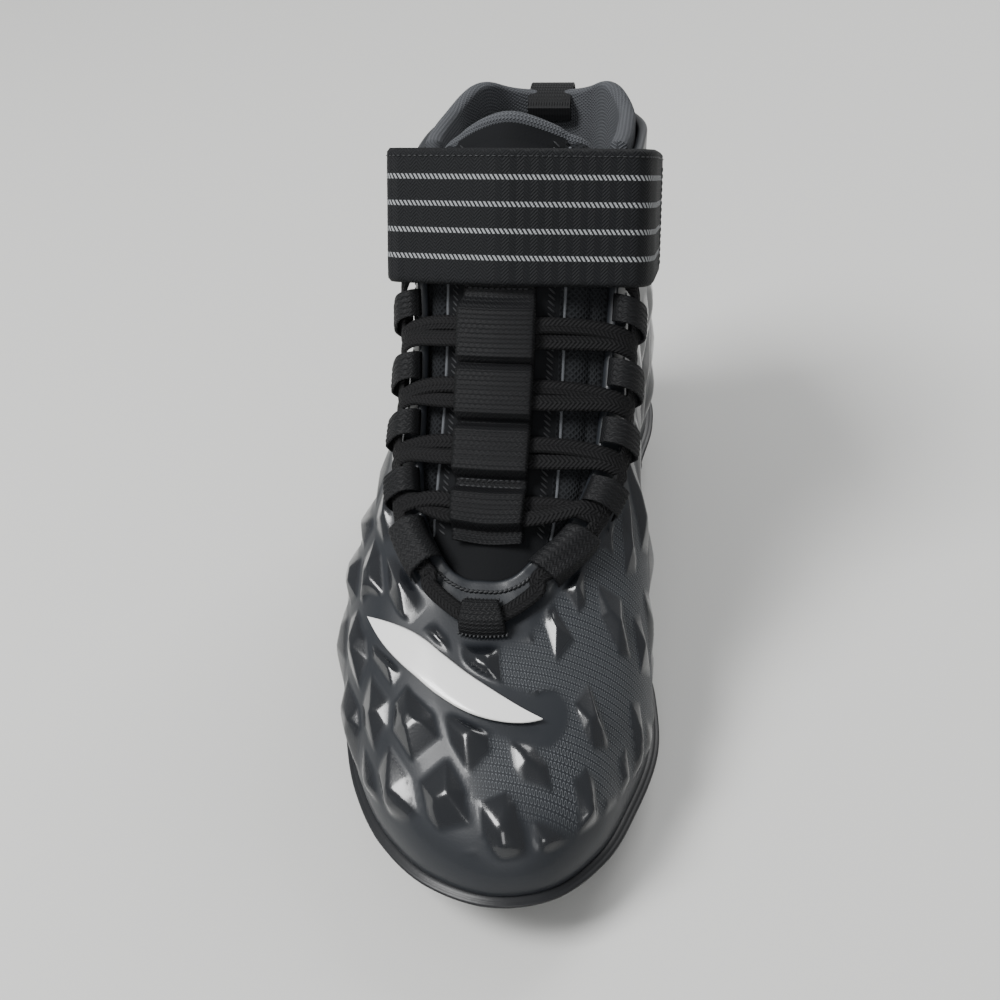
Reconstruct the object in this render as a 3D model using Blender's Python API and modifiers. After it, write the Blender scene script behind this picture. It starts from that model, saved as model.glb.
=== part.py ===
"""A right-foot football boot: a moulded plate with studs, a hollow scaled upper, a padded tongue,
webbing lace loops, a flat lace and an elastic ankle strap.

The toe points to -Y, the medial side is +X and the floor is z = 0. Every length is in metres.
The upper is a set of ribs that rise from the feather line, where it meets the plate, to the
topline, which is the edge of the throat and of the collar. All other pieces are placed on it.
"""

import math
from collections import namedtuple

import bmesh
import bpy
import numpy as np
from mathutils.geometry import convex_hull_2d

# Driving sizes of the whole boot
LENGTH = 0.278
BALL_WIDTH = 0.104
ANKLE_WIDTH = 0.078
INSTEP_HEIGHT = 0.070
COLLAR_HEIGHT = 0.152

# Plate and studs
STUD_HEIGHT = 0.011
STUD_FOOT_RADIUS = 0.0052
STUD_ROOT_RADIUS = 0.0088
STUD_SIDES = 10
PLATE = 0.0045
LEDGE = 0.0022
LEDGE_DEPTH = 0.0022
TOE_SPRING = 0.008
ARCH_RISE = 0.007
HEEL_LIFT = 0.003

# Upper
WALL = 0.0025
RELIEF = 0.0028
EYESTAY_STEP = 0.0009
GAP = 0.0004
FAN_BLEND = 0.040
COLUMNS = 72
ROWS = 11

# Insole, tongue and collar padding
INSOLE = 0.0035
INSOLE_CLEARANCE = 0.0012
TONGUE = 0.0055
TONGUE_TIP = 0.008
TONGUE_COLUMNS = 14
PADDING = 0.0060
EAR_HEIGHT = 0.006
EAR_SPREAD = 0.050
ROLL_HEIGHT = 0.0035
LINING_FROM = 10.5
TUCK = 0.0024

# Strap
STRAP_WIDTH = 0.044
STRAP = 0.0020
STRAP_TILT = math.radians(28)
STRAP_LEVEL = 0.151
STRAP_STATION = 0.180
STRAP_REACH = 0.078
STRAP_MIDDLE = 0.031
STRAP_EASE = 0.0008
STRAP_COLUMNS = 48

# Webbing and lace
KEEPER_WIDTH = 0.0245
WEBBING = 0.0012
ARCH_GAP = 0.0013
LOOP_WIDTH = 0.0090
BIG_LOOP_WIDTH = 0.0140
VAMP_LOOP_WIDTH = 0.0130
LACE_WIDTH = 0.0052
LACE = 0.0014
LACE_LIFT = 0.0034
LACE_OUT = 0.0052
VAMP_LOOP_CLIMB = 0.875
TAB_WIDTH = 0.0160
BADGE = 0.0010

# One rib a row. The foot columns are the feather line, across as a share of BALL_WIDTH. The top
# columns are the topline, across as a share of ANKLE_WIDTH and high as shares of INSTEP_HEIGHT
# and COLLAR_HEIGHT. Both stations are shares of LENGTH from the toe. Rise is how far up the rib
# its lower half points, swell is how far out, as a share of BALL_WIDTH, reach is the share of its
# chord that the upper half keeps straight, and slope is the wall's angle at the topline.
Rib = namedtuple("Rib", "foot_at foot_across top_at top_across instep collar rise swell reach slope")

TOE = Rib(0.000, 0.130, 0.310, -0.03, 1.00, 0.00, 0.52, 0.020, 0.33, 24)
MEDIAL = [
    Rib(0.019, 0.285, 0.310, 0.03, 1.00, 0.00, 0.52, 0.020, 0.33, 24),
    Rib(0.074, 0.405, 0.312, 0.08, 1.01, 0.00, 0.52, 0.028, 0.33, 24),
    Rib(0.153, 0.475, 0.318, 0.13, 1.03, 0.00, 0.52, 0.035, 0.34, 26),
    Rib(0.237, 0.515, 0.334, 0.20, 1.08, 0.00, 0.52, 0.040, 0.36, 30),
    Rib(0.321, 0.490, 0.370, 0.31, 0.95, 0.09, 0.50, 0.050, 0.38, 36),
    Rib(0.400, 0.430, 0.426, 0.40, 0.80, 0.22, 0.48, 0.075, 0.40, 46),
    Rib(0.494, 0.350, 0.494, 0.43, 0.60, 0.40, 0.46, 0.105, 0.38, 60),
    Rib(0.589, 0.300, 0.563, 0.44, 0.40, 0.62, 0.44, 0.110, 0.36, 72),
    Rib(0.683, 0.300, 0.625, 0.45, 0.20, 0.86, 0.42, 0.090, 0.34, 82),
    Rib(0.779, 0.325, 0.683, 0.48, 0.00, 1.06, 0.40, 0.070, 0.34, 90),
    Rib(0.863, 0.345, 0.779, 0.50, 0.00, 1.05, 0.40, 0.060, 0.34, 93),
    Rib(0.937, 0.310, 0.874, 0.46, 0.00, 1.02, 0.40, 0.055, 0.34, 97),
    Rib(0.987, 0.185, 0.947, 0.28, 0.00, 1.00, 0.40, 0.055, 0.34, 101),
]
HEEL = Rib(1.000, 0.000, 0.970, 0.00, 0.00, 0.99, 0.40, 0.050, 0.34, 103)
LATERAL = [
    Rib(0.020, 0.075, 0.310, 0.08, 1.00, 0.00, 0.52, 0.020, 0.33, 24),
    Rib(0.069, 0.235, 0.312, 0.12, 1.01, 0.00, 0.52, 0.028, 0.33, 24),
    Rib(0.144, 0.370, 0.318, 0.17, 1.03, 0.00, 0.52, 0.038, 0.34, 26),
    Rib(0.228, 0.460, 0.334, 0.23, 1.08, 0.00, 0.52, 0.050, 0.36, 30),
    Rib(0.311, 0.510, 0.370, 0.31, 0.95, 0.09, 0.50, 0.060, 0.38, 36),
    Rib(0.395, 0.515, 0.426, 0.36, 0.80, 0.22, 0.48, 0.065, 0.40, 44),
    Rib(0.489, 0.475, 0.494, 0.38, 0.60, 0.40, 0.46, 0.065, 0.38, 56),
    Rib(0.584, 0.415, 0.563, 0.40, 0.40, 0.62, 0.44, 0.065, 0.36, 70),
    Rib(0.678, 0.365, 0.625, 0.43, 0.20, 0.86, 0.42, 0.065, 0.34, 82),
    Rib(0.773, 0.345, 0.683, 0.47, 0.00, 1.06, 0.40, 0.060, 0.34, 90),
    Rib(0.857, 0.345, 0.779, 0.50, 0.00, 1.05, 0.40, 0.055, 0.34, 93),
    Rib(0.934, 0.305, 0.874, 0.46, 0.00, 1.02, 0.40, 0.055, 0.34, 97),
    Rib(0.986, 0.180, 0.947, 0.28, 0.00, 1.00, 0.40, 0.055, 0.34, 101),
]

# Crown of the tongue above the throat's edges, a row for each rib that it passes, as shares of
# ANKLE_WIDTH: how high it stands and how far it lies to the medial side.
Crown = namedtuple("Crown", "rib height shift")
CROWNS = [
    Crown(4.0, -0.040, 0.00),
    Crown(5.0, 0.000, -0.02),
    Crown(6.0, 0.045, -0.04),
    Crown(7.0, 0.080, -0.05),
    Crown(8.0, 0.105, -0.05),
    Crown(9.0, 0.125, -0.04),
    Crown(10.0, 0.200, -0.03),
]

# Places along the throat, counted in ribs from the toe: the webbing loops at its sides and the
# windows in the keeper where the lace crosses.
SIDE_LOOPS = [8.25, 7.48, 6.70, 5.78]
BIG_LOOP = 4.40
WINDOWS = [7.88, 7.10, 6.25, 5.24]
WINDOW_HALF = 0.33
LACE_TOP = 9.1

# Studs: station as a share of LENGTH, across as a share of BALL_WIDTH
STUDS = [
    (0.084, -0.04), (0.098, 0.30), (0.177, -0.27), (0.190, 0.40), (0.274, -0.41), (0.288, 0.38),
    (0.372, -0.40), (0.377, 0.31), (0.768, -0.24), (0.768, 0.24), (0.894, -0.22), (0.894, 0.22),
]


def smooth_step(low, high, value):
    """0 below low, 1 above high and an even S-curve between them."""
    share = np.clip((np.asarray(value, float) - low) / (high - low), 0.0, 1.0)
    return share * share * (3.0 - 2.0 * share)


def closed_curve(knots, period, values, at):
    """Cubic curve once round through rows of values, each slope taken from the two neighbours."""
    count = len(knots)
    index = np.arange(-2, count + 3)
    place = np.asarray(knots)[index % count] + period * (index // count)
    rows = np.asarray(values, float)[index % count]
    step = np.diff(place)
    pitch = np.diff(rows, axis=0) / step[:, None]
    before, after = step[:-1, None], step[1:, None]
    slope = (pitch[:-1] * after + pitch[1:] * before) / (before + after)
    place, rows = place[1:-1], rows[1:-1]
    at = np.mod(np.asarray(at, float), period)
    low = np.clip(np.searchsorted(place, at, side="right") - 1, 0, len(place) - 2)
    width = (place[low + 1] - place[low])[..., None]
    share = ((at - place[low])[..., None]) / width
    cube, square = share**3, share**2
    return (
        rows[low] * (2 * cube - 3 * square + 1)
        + slope[low] * width * (cube - 2 * square + share)
        + rows[low + 1] * (3 * square - 2 * cube)
        + slope[low + 1] * width * (cube - square)
    )


def open_curve(points, at):
    """Catmull-Rom curve through a row of points, with at running from 0 to 1 by length."""
    points = np.asarray(points, float)
    first, last = 2 * points[0] - points[1], 2 * points[-1] - points[-2]
    rows = np.vstack([first, points, last])
    length = np.concatenate([[0.0], np.cumsum(np.linalg.norm(np.diff(points, axis=0), axis=1))])
    place = np.clip(np.asarray(at, float), 0.0, 1.0) * length[-1]
    low = np.clip(np.searchsorted(length, place, side="right") - 1, 0, len(points) - 2)
    share = ((place - length[low]) / (length[low + 1] - length[low]))[..., None]
    a, b, c, d = rows[low], rows[low + 1], rows[low + 2], rows[low + 3]
    cube, square = share**3, share**2
    return 0.5 * (
        2 * b + (c - a) * share + (2 * a - 5 * b + 4 * c - d) * square + (3 * b - a - 3 * c + d) * cube
    )


def through(points, per):
    """The same curve, with a number of steps from each point to the next."""
    points = np.asarray(points, float)
    length = np.concatenate([[0.0], np.cumsum(np.linalg.norm(np.diff(points, axis=0), axis=1))])
    places = np.linspace(0.0, len(points) - 1.0, per * (len(points) - 1) + 1)
    return open_curve(points, np.interp(places, np.arange(len(points)), length) / length[-1])


def unit(vectors):
    """The vectors at length 1."""
    return vectors / np.maximum(np.linalg.norm(vectors, axis=-1, keepdims=True), 1e-12)


def plate_top(station):
    """Height of the plate's top over the floor: toe spring, hollow arch and lifted heel."""
    toe = TOE_SPRING * np.clip(1.0 - station / 0.30, 0.0, 1.0) ** 2
    arch = ARCH_RISE * smooth_step(0.40, 0.57, station) * (1.0 - smooth_step(0.57, 0.74, station))
    heel = HEEL_LIFT * smooth_step(0.42, 0.72, station)
    return STUD_HEIGHT + PLATE + toe + arch + heel


def rib_values(rib, side):
    """A rib's foot, top and shape as lengths, on the medial (1) or lateral (-1) side."""
    return [
        side * rib.foot_across * BALL_WIDTH,
        rib.foot_at * LENGTH,
        side * rib.top_across * ANKLE_WIDTH,
        rib.top_at * LENGTH,
        rib.instep * INSTEP_HEIGHT + rib.collar * COLLAR_HEIGHT,
        rib.rise,
        rib.swell * BALL_WIDTH,
        rib.reach,
        math.radians(rib.slope),
    ]


RING = np.array(
    [rib_values(TOE, 1)]
    + [rib_values(rib, 1) for rib in MEDIAL]
    + [rib_values(HEEL, 1)]
    + [rib_values(rib, -1) for rib in reversed(LATERAL)]
)


def ring_knots():
    """Distance round the boot to each rib, by its foot and half by its top, and the whole way."""
    onward = np.roll(RING, -1, axis=0) - RING
    foot = np.hypot(onward[:, 0], onward[:, 1])
    top = np.linalg.norm(onward[:, 2:5], axis=1)
    way = np.cumsum(foot + 0.5 * top)
    return np.concatenate([[0.0], way[:-1]]), way[-1]


KNOTS, AROUND = ring_knots()
HEEL_KNOT = KNOTS[len(MEDIAL) + 1]


def place_of(turn):
    """The distance round for a turn: 0 is the toe, 0.5 the heel, and the medial side comes first."""
    turn = np.mod(np.asarray(turn, float), 1.0)
    medial = 2 * turn * HEEL_KNOT
    lateral = HEEL_KNOT + (2 * turn - 1) * (AROUND - HEEL_KNOT)
    return np.where(turn < 0.5, medial, lateral)


def rib_turn(rib, side):
    """The turn of a rib by its number from the toe, whole or between two, on either side."""
    last = len(MEDIAL) + 1
    numbers = np.arange(last + 1)
    if side > 0:
        return np.interp(rib, numbers, 0.5 * KNOTS[: last + 1] / HEEL_KNOT)
    away = np.concatenate([[AROUND], KNOTS[:last:-1], [HEEL_KNOT]])
    return np.interp(rib, numbers, 0.5 + 0.5 * (away - HEEL_KNOT) / (AROUND - HEEL_KNOT))


def foot_outline(turn, outset=0.0):
    """Plan points of the feather line, moved outwards by outset, and the outward directions."""
    place = place_of(turn)
    here = closed_curve(KNOTS, AROUND, RING, place)
    nudge = 0.0005
    ahead = closed_curve(KNOTS, AROUND, RING, place + nudge)[..., :2]
    behind = closed_curve(KNOTS, AROUND, RING, place - nudge)[..., :2]
    along = unit(ahead - behind)
    outward = np.stack([along[..., 1], -along[..., 0]], axis=-1)
    return here[..., :2] + outset * outward, outward


def upper_surface(turn, climb):
    """Outer face of the upper without relief. Climb is 0 at the feather line and 1 at the topline.
    Each rib is a cubic whose handles stand up from its foot and lean out from its top."""
    turn, climb = np.broadcast_arrays(np.asarray(turn, float), np.asarray(climb, float))
    rows = closed_curve(KNOTS, AROUND, RING, place_of(turn))
    foot_plan, outward = foot_outline(turn)
    foot_height = plate_top(foot_plan[..., 1] / LENGTH) + GAP
    foot = np.concatenate([foot_plan, foot_height[..., None]], axis=-1)
    top = rows[..., 2:5]
    rise, swell, reach, slope = (rows[..., k, None] for k in (5, 6, 7, 8))
    up = np.array([0.0, 0.0, 1.0])
    out = np.concatenate([outward, np.zeros_like(outward[..., :1])], axis=-1)
    lean_plan = unit(foot_plan - top[..., :2] + FAN_BLEND * outward)
    lean = np.concatenate([lean_plan, np.zeros_like(lean_plan[..., :1])], axis=-1)
    chord = np.linalg.norm(top - foot, axis=-1, keepdims=True)
    low_handle = foot + up * rise * (top - foot)[..., 2:3] + out * swell
    high_handle = top + reach * chord * (np.cos(slope) * lean - np.sin(slope) * up)
    share = climb[..., None]
    rest = 1.0 - share
    return (
        foot * rest**3
        + low_handle * 3 * share * rest**2
        + high_handle * 3 * share**2 * rest
        + top * share**3
    )


def upper_normal(turn, climb):
    """Outward direction of the upper's face."""
    turn, climb = np.broadcast_arrays(np.asarray(turn, float), np.asarray(climb, float))
    nudge = 0.002
    round_it = upper_surface(turn + nudge, climb) - upper_surface(turn - nudge, climb)
    low, high = np.clip(climb - nudge, 0, 1), np.clip(climb + nudge, 0, 1)
    up_it = upper_surface(turn, high) - upper_surface(turn, low)
    return unit(np.cross(round_it, up_it))


def on_upper(turn, climb, lift):
    """A point over the upper's face, lift away from it, or inside it where lift is negative."""
    return upper_surface(turn, climb) + lift * upper_normal(turn, climb)


# Where the facets stop: near the feather line, over the toe bumper, round the vamp loop, under the
# badge, at the eyestay, and below the strap and collar.
BADGE_ENDS = ((0.885, 0.60), (0.030, 0.56))
BADGE_BOW = 0.11
BADGE_HALF = 0.060


def badge_middle(share):
    """How far up the upper the badge's middle line runs, at a share of its length."""
    (_, start), (_, end) = BADGE_ENDS
    return start + (end - start) * share + 4 * BADGE_BOW * share * (1.0 - share)


def badge_distance(turn, climb):
    """How far a place lies from the badge's middle line, where 1 is the badge's own edge."""
    (start_turn, _), (end_turn, _) = BADGE_ENDS
    across = np.mod(np.asarray(turn, float) - start_turn, 1.0)
    length = np.mod(end_turn - start_turn, 1.0)
    across = np.where(across > 0.5 + 0.5 * length, across - 1.0, across)
    share = np.clip(across / length, 0.0, 1.0)
    past = (across - share * length) / 0.03
    return np.hypot(past, (climb - badge_middle(share)) / BADGE_HALF)


def relief_mask(turn, climb):
    """How much of the facets' height a place on the upper has, from 0 to 1."""
    from_toe = np.minimum(turn, 1.0 - turn)
    floor = 0.10 + 0.22 * (1.0 - smooth_step(0.03, 0.11, from_toe))
    ceiling = 0.83 - 0.05 * (1.0 - smooth_step(0.02, 0.10, from_toe))
    ceiling = ceiling - 0.30 * smooth_step(0.20, 0.30, from_toe)
    up = smooth_step(floor - 0.05, floor + 0.04, climb)
    down = 1.0 - smooth_step(ceiling - 0.05, ceiling + 0.03, climb)
    badge = smooth_step(1.0, 1.6, badge_distance(turn, climb))
    return up * down * badge


def throat_edge(rib, side, climb=1.0, lift=0.0):
    """A point near the edge of the throat at a rib, over or inside the upper."""
    place = rib_turn(rib, side)
    return on_upper(place, climb, lift) if lift else upper_surface(place, climb)


def crown_point(rib):
    """Highest line of the tongue: over the middle between the throat's two edges."""
    numbers = [crown.rib for crown in CROWNS]
    height = np.interp(rib, numbers, [crown.height for crown in CROWNS]) * ANKLE_WIDTH
    shift = np.interp(rib, numbers, [crown.shift for crown in CROWNS]) * ANKLE_WIDTH
    step = 0.25
    turns = [rib_turn(number, side) for number in (rib, rib + step, rib - step) for side in (1, -1)]
    medial, lateral, *near = upper_surface(turns, 1.0)
    onward = near[0] + near[1] - near[2] - near[3]
    across = unit(medial - lateral)
    away = unit(np.cross(across, onward))
    return 0.5 * (medial + lateral) + height * away + shift * across


def tongue_section(rib):
    """Five points across the tongue's face: two tucked inside the upper on each side of the crown."""
    inside = -(WALL + GAP + TUCK)
    return np.array(
        [
            throat_edge(rib, -1, 0.90, inside),
            throat_edge(rib, -1, 1.0, inside),
            crown_point(rib),
            throat_edge(rib, 1, 1.0, inside),
            throat_edge(rib, 1, 0.90, inside),
        ]
    )


def saddle_frame(rib, across):
    """A point on the cover of the throat and its outward direction. The cover runs over the tongue's
    crown, the throat's edges and the eyestay. Across is a length from the crown, positive to the
    medial side."""
    climbs = np.array([0.72, 0.86, 1.0])

    def section(number):
        turns = np.repeat([rib_turn(number, -1), rib_turn(number, 1)], len(climbs))
        edges = upper_surface(turns, np.concatenate([climbs, climbs[::-1]]))
        return np.insert(edges, len(climbs), crown_point(number), axis=0)

    def at(number, distance):
        points = section(number)
        length = np.concatenate([[0], np.cumsum(np.linalg.norm(np.diff(points, axis=0), axis=1))])
        return open_curve(points, (length[3] + distance) / length[-1])

    here = at(rib, across)
    nudge, step = 0.001, 0.1
    side = at(rib, across + nudge) - at(rib, across - nudge)
    onward = at(rib + step, across) - at(rib - step, across)
    return here, unit(np.cross(side, onward))


def saddle(rib, across, lift):
    """A point lift above the cover of the throat."""
    here, away = saddle_frame(rib, across)
    return here + lift * away


def edge_distance(rib, side):
    """Length over the saddle from the crown to the edge of the throat."""
    return side * np.linalg.norm(throat_edge(rib, side) - crown_point(rib))


# Mesh helpers


def collection_named(name):
    """A collection of that name in the scene."""
    found = bpy.data.collections.new(name)
    bpy.context.scene.collection.children.link(found)
    return found


def finish(name, colour, roughness, metallic=0.0, coat=0.0):
    """A Principled material."""
    made = bpy.data.materials.new(name)
    made.use_nodes = True
    shader = made.node_tree.nodes["Principled BSDF"]
    shader.inputs["Base Color"].default_value = (*colour, 1.0)
    shader.inputs["Roughness"].default_value = roughness
    shader.inputs["Metallic"].default_value = metallic
    shader.inputs["Coat Weight"].default_value = coat
    return made


def grid_mesh(name, points, closed_round=False, diamonds=False):
    """A surface through a grid of points. Diamonds splits each square so that points with an even
    sum of row and column stand in the middle of four triangles."""
    rows, columns = points.shape[:2]
    build = bmesh.new()
    corners = [[build.verts.new(points[r, c]) for c in range(columns)] for r in range(rows)]
    for r in range(rows - 1):
        for c in range(columns if closed_round else columns - 1):
            d = (c + 1) % columns
            square = [corners[r][c], corners[r][d], corners[r + 1][d], corners[r + 1][c]]
            if not diamonds:
                build.faces.new(square)
                continue
            turned = square if (r + c) % 2 else square[1:] + square[:1]
            build.faces.new((turned[0], turned[1], turned[2]))
            build.faces.new((turned[0], turned[2], turned[3]))
    bmesh.ops.remove_doubles(build, verts=build.verts, dist=1e-6)
    bmesh.ops.dissolve_degenerate(build, edges=build.edges, dist=1e-7)
    mesh = bpy.data.meshes.new(name)
    build.to_mesh(mesh)
    build.free()
    return mesh


def add_object(name, mesh, material, home):
    """A named object with one material, in its collection."""
    made = bpy.data.objects.new(name, mesh)
    mesh.materials.clear()
    mesh.materials.append(material)
    home.objects.link(made)
    return made


def thicken(made, thickness, offset=-1.0):
    """Solidify on an open surface. An offset of -1 grows it against its normals."""
    shell = made.modifiers.new("Thickness", "SOLIDIFY")
    shell.thickness = thickness
    shell.offset = offset
    shell.use_even_offset = True
    return made


def baked(made):
    """The object with its modifiers taken into its mesh."""
    graph = bpy.context.evaluated_depsgraph_get()
    mesh = bpy.data.meshes.new_from_object(made.evaluated_get(graph))
    made.modifiers.clear()
    made.data = mesh
    return made


def smooth(made, angle=35):
    """Shade smooth, with edges sharper than the angle left sharp."""
    made.data.shade_smooth()
    made.data.set_sharp_from_angle(angle=math.radians(angle))
    return made


def joined(first, others, solver="EXACT"):
    """The Boolean union of an object and others, which are removed."""
    for other in others:
        union = first.modifiers.new("Join", "BOOLEAN")
        union.operation = "UNION"
        union.solver = solver
        union.object = other
        bpy.context.view_layer.update()
        baked(first)
        bpy.data.objects.remove(other)
    return first


def band(name, path, sides, width, thickness, material, home):
    """A flat band: a strip along the path, width wide along the sides' directions, thickened evenly
    about the path."""
    path, sides = np.asarray(path), unit(np.asarray(sides))
    strip = np.stack([path - 0.5 * width * sides, path + 0.5 * width * sides])
    made = add_object(name, grid_mesh(name, strip), material, home)
    return smooth(thicken(made, thickness, 0.0))


# Pieces


def cross_lines(outset, count=26, across=4):
    """A patch inside the feather line: straight lines from the lateral to the medial side."""
    medial = foot_outline(np.linspace(0.0, 0.5, count + 1), outset)[0]
    lateral = foot_outline(1.0 - np.linspace(0.0, 0.5, count + 1), outset)[0]
    share = np.linspace(0.0, 1.0, across + 1)[None, :, None]
    plan = lateral[:, None] * (1 - share) + medial[:, None] * share
    plan[0], plan[-1] = medial[0], medial[-1]
    return plan


def raised_patch(name, plan, height):
    """A grid mesh over plan points, at a height for each station."""
    level = height(plan[..., 1] / LENGTH)
    return grid_mesh(name, np.concatenate([plan, level[..., None]], axis=-1))


def make_outsole(material, home):
    """The moulded plate: a top layer with a ledge, a narrower lower layer and the studs, in one."""
    top = add_object("outsole", raised_patch("outsole", cross_lines(LEDGE), plate_top), material, home)
    thicken(top, LEDGE_DEPTH)
    baked(top)
    overlap = 0.0005
    under = add_object(
        "plate_under",
        raised_patch("under", cross_lines(-0.0004), lambda at: plate_top(at) - LEDGE_DEPTH + overlap),
        material,
        home,
    )
    thicken(under, PLATE - LEDGE_DEPTH + overlap)
    baked(under)
    return smooth(joined(top, [under, *make_studs(material, home)]), 30)


def make_studs(material, home):
    """Tapered studs that run from inside the plate to the floor, or to the sprung toe's level."""
    studs = []
    for number, (station, across) in enumerate(STUDS):
        root = plate_top(station) - 0.5 * PLATE
        tip = max(0.0, plate_top(station) - PLATE - STUD_HEIGHT) if station < 0.25 else 0.0
        bpy.ops.mesh.primitive_cone_add(
            vertices=STUD_SIDES,
            radius1=STUD_FOOT_RADIUS,
            radius2=STUD_ROOT_RADIUS,
            depth=root - tip,
            location=(across * BALL_WIDTH, station * LENGTH, 0.5 * (root + tip)),
        )
        stud = bpy.context.object
        stud.name = f"stud_{number}"
        bpy.ops.object.transform_apply(location=True, rotation=True, scale=True)
        for holder in list(stud.users_collection):
            holder.objects.unlink(stud)
        stud.data.materials.append(material)
        home.objects.link(stud)
        studs.append(stud)
    return studs


def make_insole(material, home):
    """The footbed, laid in the upper on the plate."""
    plan = cross_lines(-(WALL + INSOLE_CLEARANCE), count=22, across=4)
    mesh = raised_patch("insole", plan, lambda at: plate_top(at) + GAP)
    return smooth(thicken(add_object("insole", mesh, material, home), INSOLE, 1.0))


def make_upper(material, home):
    """The hollow upper: the ribs' surface with its wall inside, then facets and the eyestay's step
    raised on the outer face alone."""
    turn = np.arange(COLUMNS) / COLUMNS
    climb = np.linspace(0.0, 1.0, ROWS + 1)
    turns, climbs = np.meshgrid(turn, climb)
    points = upper_surface(turns, climbs)
    made = add_object("upper", grid_mesh("upper", points, True, True), material, home)
    thicken(made, WALL)
    baked(made)
    even = (np.add.outer(np.arange(ROWS + 1), np.arange(COLUMNS)) % 2 == 0).astype(float)
    lift = RELIEF * relief_mask(turns, climbs) * even
    eyestay = smooth_step(0.84, 0.90, climbs) * smooth_step(0.08, 0.12, np.minimum(turns, 1 - turns))
    lift = lift + EYESTAY_STEP * eyestay
    raised = points + lift[..., None] * upper_normal(turns, climbs)
    for vertex, place in zip(made.data.vertices, raised.reshape(-1, 3)):
        vertex.co = place
    return smooth(made, 12)


def make_tongue(material, home):
    """The padded tongue: sections through the crown line, tucked under the throat's edges, with a
    root under the vamp and a tip that stands above the collar."""
    inside = -(WALL + GAP + TUCK)
    root = np.array(
        [
            throat_edge(3.8, -1, 0.88, inside),
            throat_edge(3.0, -1, 0.90, inside),
            on_upper(0.0, 0.91, inside),
            throat_edge(3.0, 1, 0.90, inside),
            throat_edge(3.8, 1, 0.88, inside),
        ]
    )
    sections = [root] + [tongue_section(rib) for rib in np.linspace(4.3, 10.0, 13)]
    onward = unit(crown_point(10.0) - crown_point(9.4))
    last = sections[-1]
    for share, narrow in ((0.5, 0.93), (1.0, 0.78)):
        middle = last[2] + onward * TONGUE_TIP * share
        sections.append(middle + (last - last[2]) * [narrow, narrow, 1.0])
    share = np.linspace(0.0, 1.0, TONGUE_COLUMNS + 1)
    points = np.array([open_curve(section, share) for section in sections])
    made = add_object("tongue", grid_mesh("tongue", points), material, home)
    return baked(smooth(thicken(made, TONGUE), 50))


def ear_height(turn):
    """How far the padding rises over the collar: a low roll with an ear each side of the heel."""
    from_heel = np.abs(np.asarray(turn) - 0.5)
    ear = np.exp(-(((from_heel - EAR_SPREAD) / 0.022) ** 2))
    front = 1.0 - smooth_step(0.12, 0.17, from_heel)
    return front * (ROLL_HEIGHT + EAR_HEIGHT * ear)


def make_lining(material, home):
    """The padded collar lining, a thick band inside the upper with a rolled top."""
    turn = np.linspace(rib_turn(LINING_FROM, 1), rib_turn(LINING_FROM, -1), 33)
    climb = np.array([0.66, 0.76, 0.86, 0.95, 1.0])
    turns, climbs = np.meshgrid(turn, climb)
    points = on_upper(turns, climbs, -(WALL + GAP + 0.0003))
    over = points[-1] + np.array([0.0, 0.0, 1.0]) * ear_height(turn)[:, None]
    points = np.concatenate([points, over[None]])
    made = add_object("collar_lining", grid_mesh("collar_lining", points), material, home)
    return smooth(thicken(made, PADDING), 50)


def ribs_for(rib, length):
    """How many ribs a length along the throat is, near a rib."""
    return length / np.linalg.norm(crown_point(rib + 0.5) - crown_point(rib - 0.5))


def loop_turn(rib, side, width, lift):
    """Places of the lace where it goes out, through a side loop along the throat and back, with a
    round corner just before the loop and just after it."""
    half = ribs_for(rib, 0.5 * width + 0.25 * LACE_WIDTH)
    corner = ribs_for(rib, 0.5 * width + 0.75 * LACE_WIDTH)
    inwards = 0.35 * LACE_WIDTH
    steps = ((corner, inwards), (half, 0.0), (0.0, 0.0), (-half, 0.0), (-corner, inwards))
    places = []
    for step, pulled_in in steps:
        across = edge_distance(rib + step, side) + side * (LACE_OUT - pulled_in)
        places.append((rib + step, across, lift))
    return places


def half_lace(side, lift, crossing):
    """Places of one half of the lace, from under the strap on one side down to the lowest loop. It
    crosses the throat at each window and turns at each side loop."""
    places = [(LACE_TOP, 0.55 * edge_distance(LACE_TOP, side), lift)]
    places.append((LACE_TOP - 0.28, 0.86 * edge_distance(LACE_TOP - 0.28, side), lift + 0.0004))
    for number, rib in enumerate(SIDE_LOOPS):
        here = side if number % 2 == 0 else -side
        places += loop_turn(rib, here, LOOP_WIDTH, lift)
        window = WINDOWS[number]
        step = ribs_for(window, 0.45 * LACE_WIDTH)
        places.append((window + step, here * 0.5 * KEEPER_WIDTH, lift + crossing))
        places.append((window - step, -here * 0.5 * KEEPER_WIDTH, lift + crossing))
    last = side if len(SIDE_LOOPS) % 2 == 0 else -side
    return places + loop_turn(BIG_LOOP, last, BIG_LOOP_WIDTH, lift)[:4]


def lace_line(places, steps):
    """Points and outward directions along the lace: a smooth curve through its places, laid over the
    cover of the throat."""
    pitch = np.linalg.norm(crown_point(8.0) - crown_point(5.0)) / 3.0
    rows = through(np.array(places) * [pitch, 1.0, 1.0], steps) / [pitch, 1.0, 1.0]
    frames = [saddle_frame(rib, across) for rib, across, _ in rows]
    away = np.array([face for _, face in frames])
    return np.array([here for here, _ in frames]) + rows[:, 2:] * away, away


def flat_cord(name, path, away, material, home):
    """A stretch of lace along a path, flat across the directions away."""
    along = unit(np.gradient(path, axis=0))
    return baked(band(name, path, np.cross(along, unit(away)), LACE_WIDTH, LACE, material, home))


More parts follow.
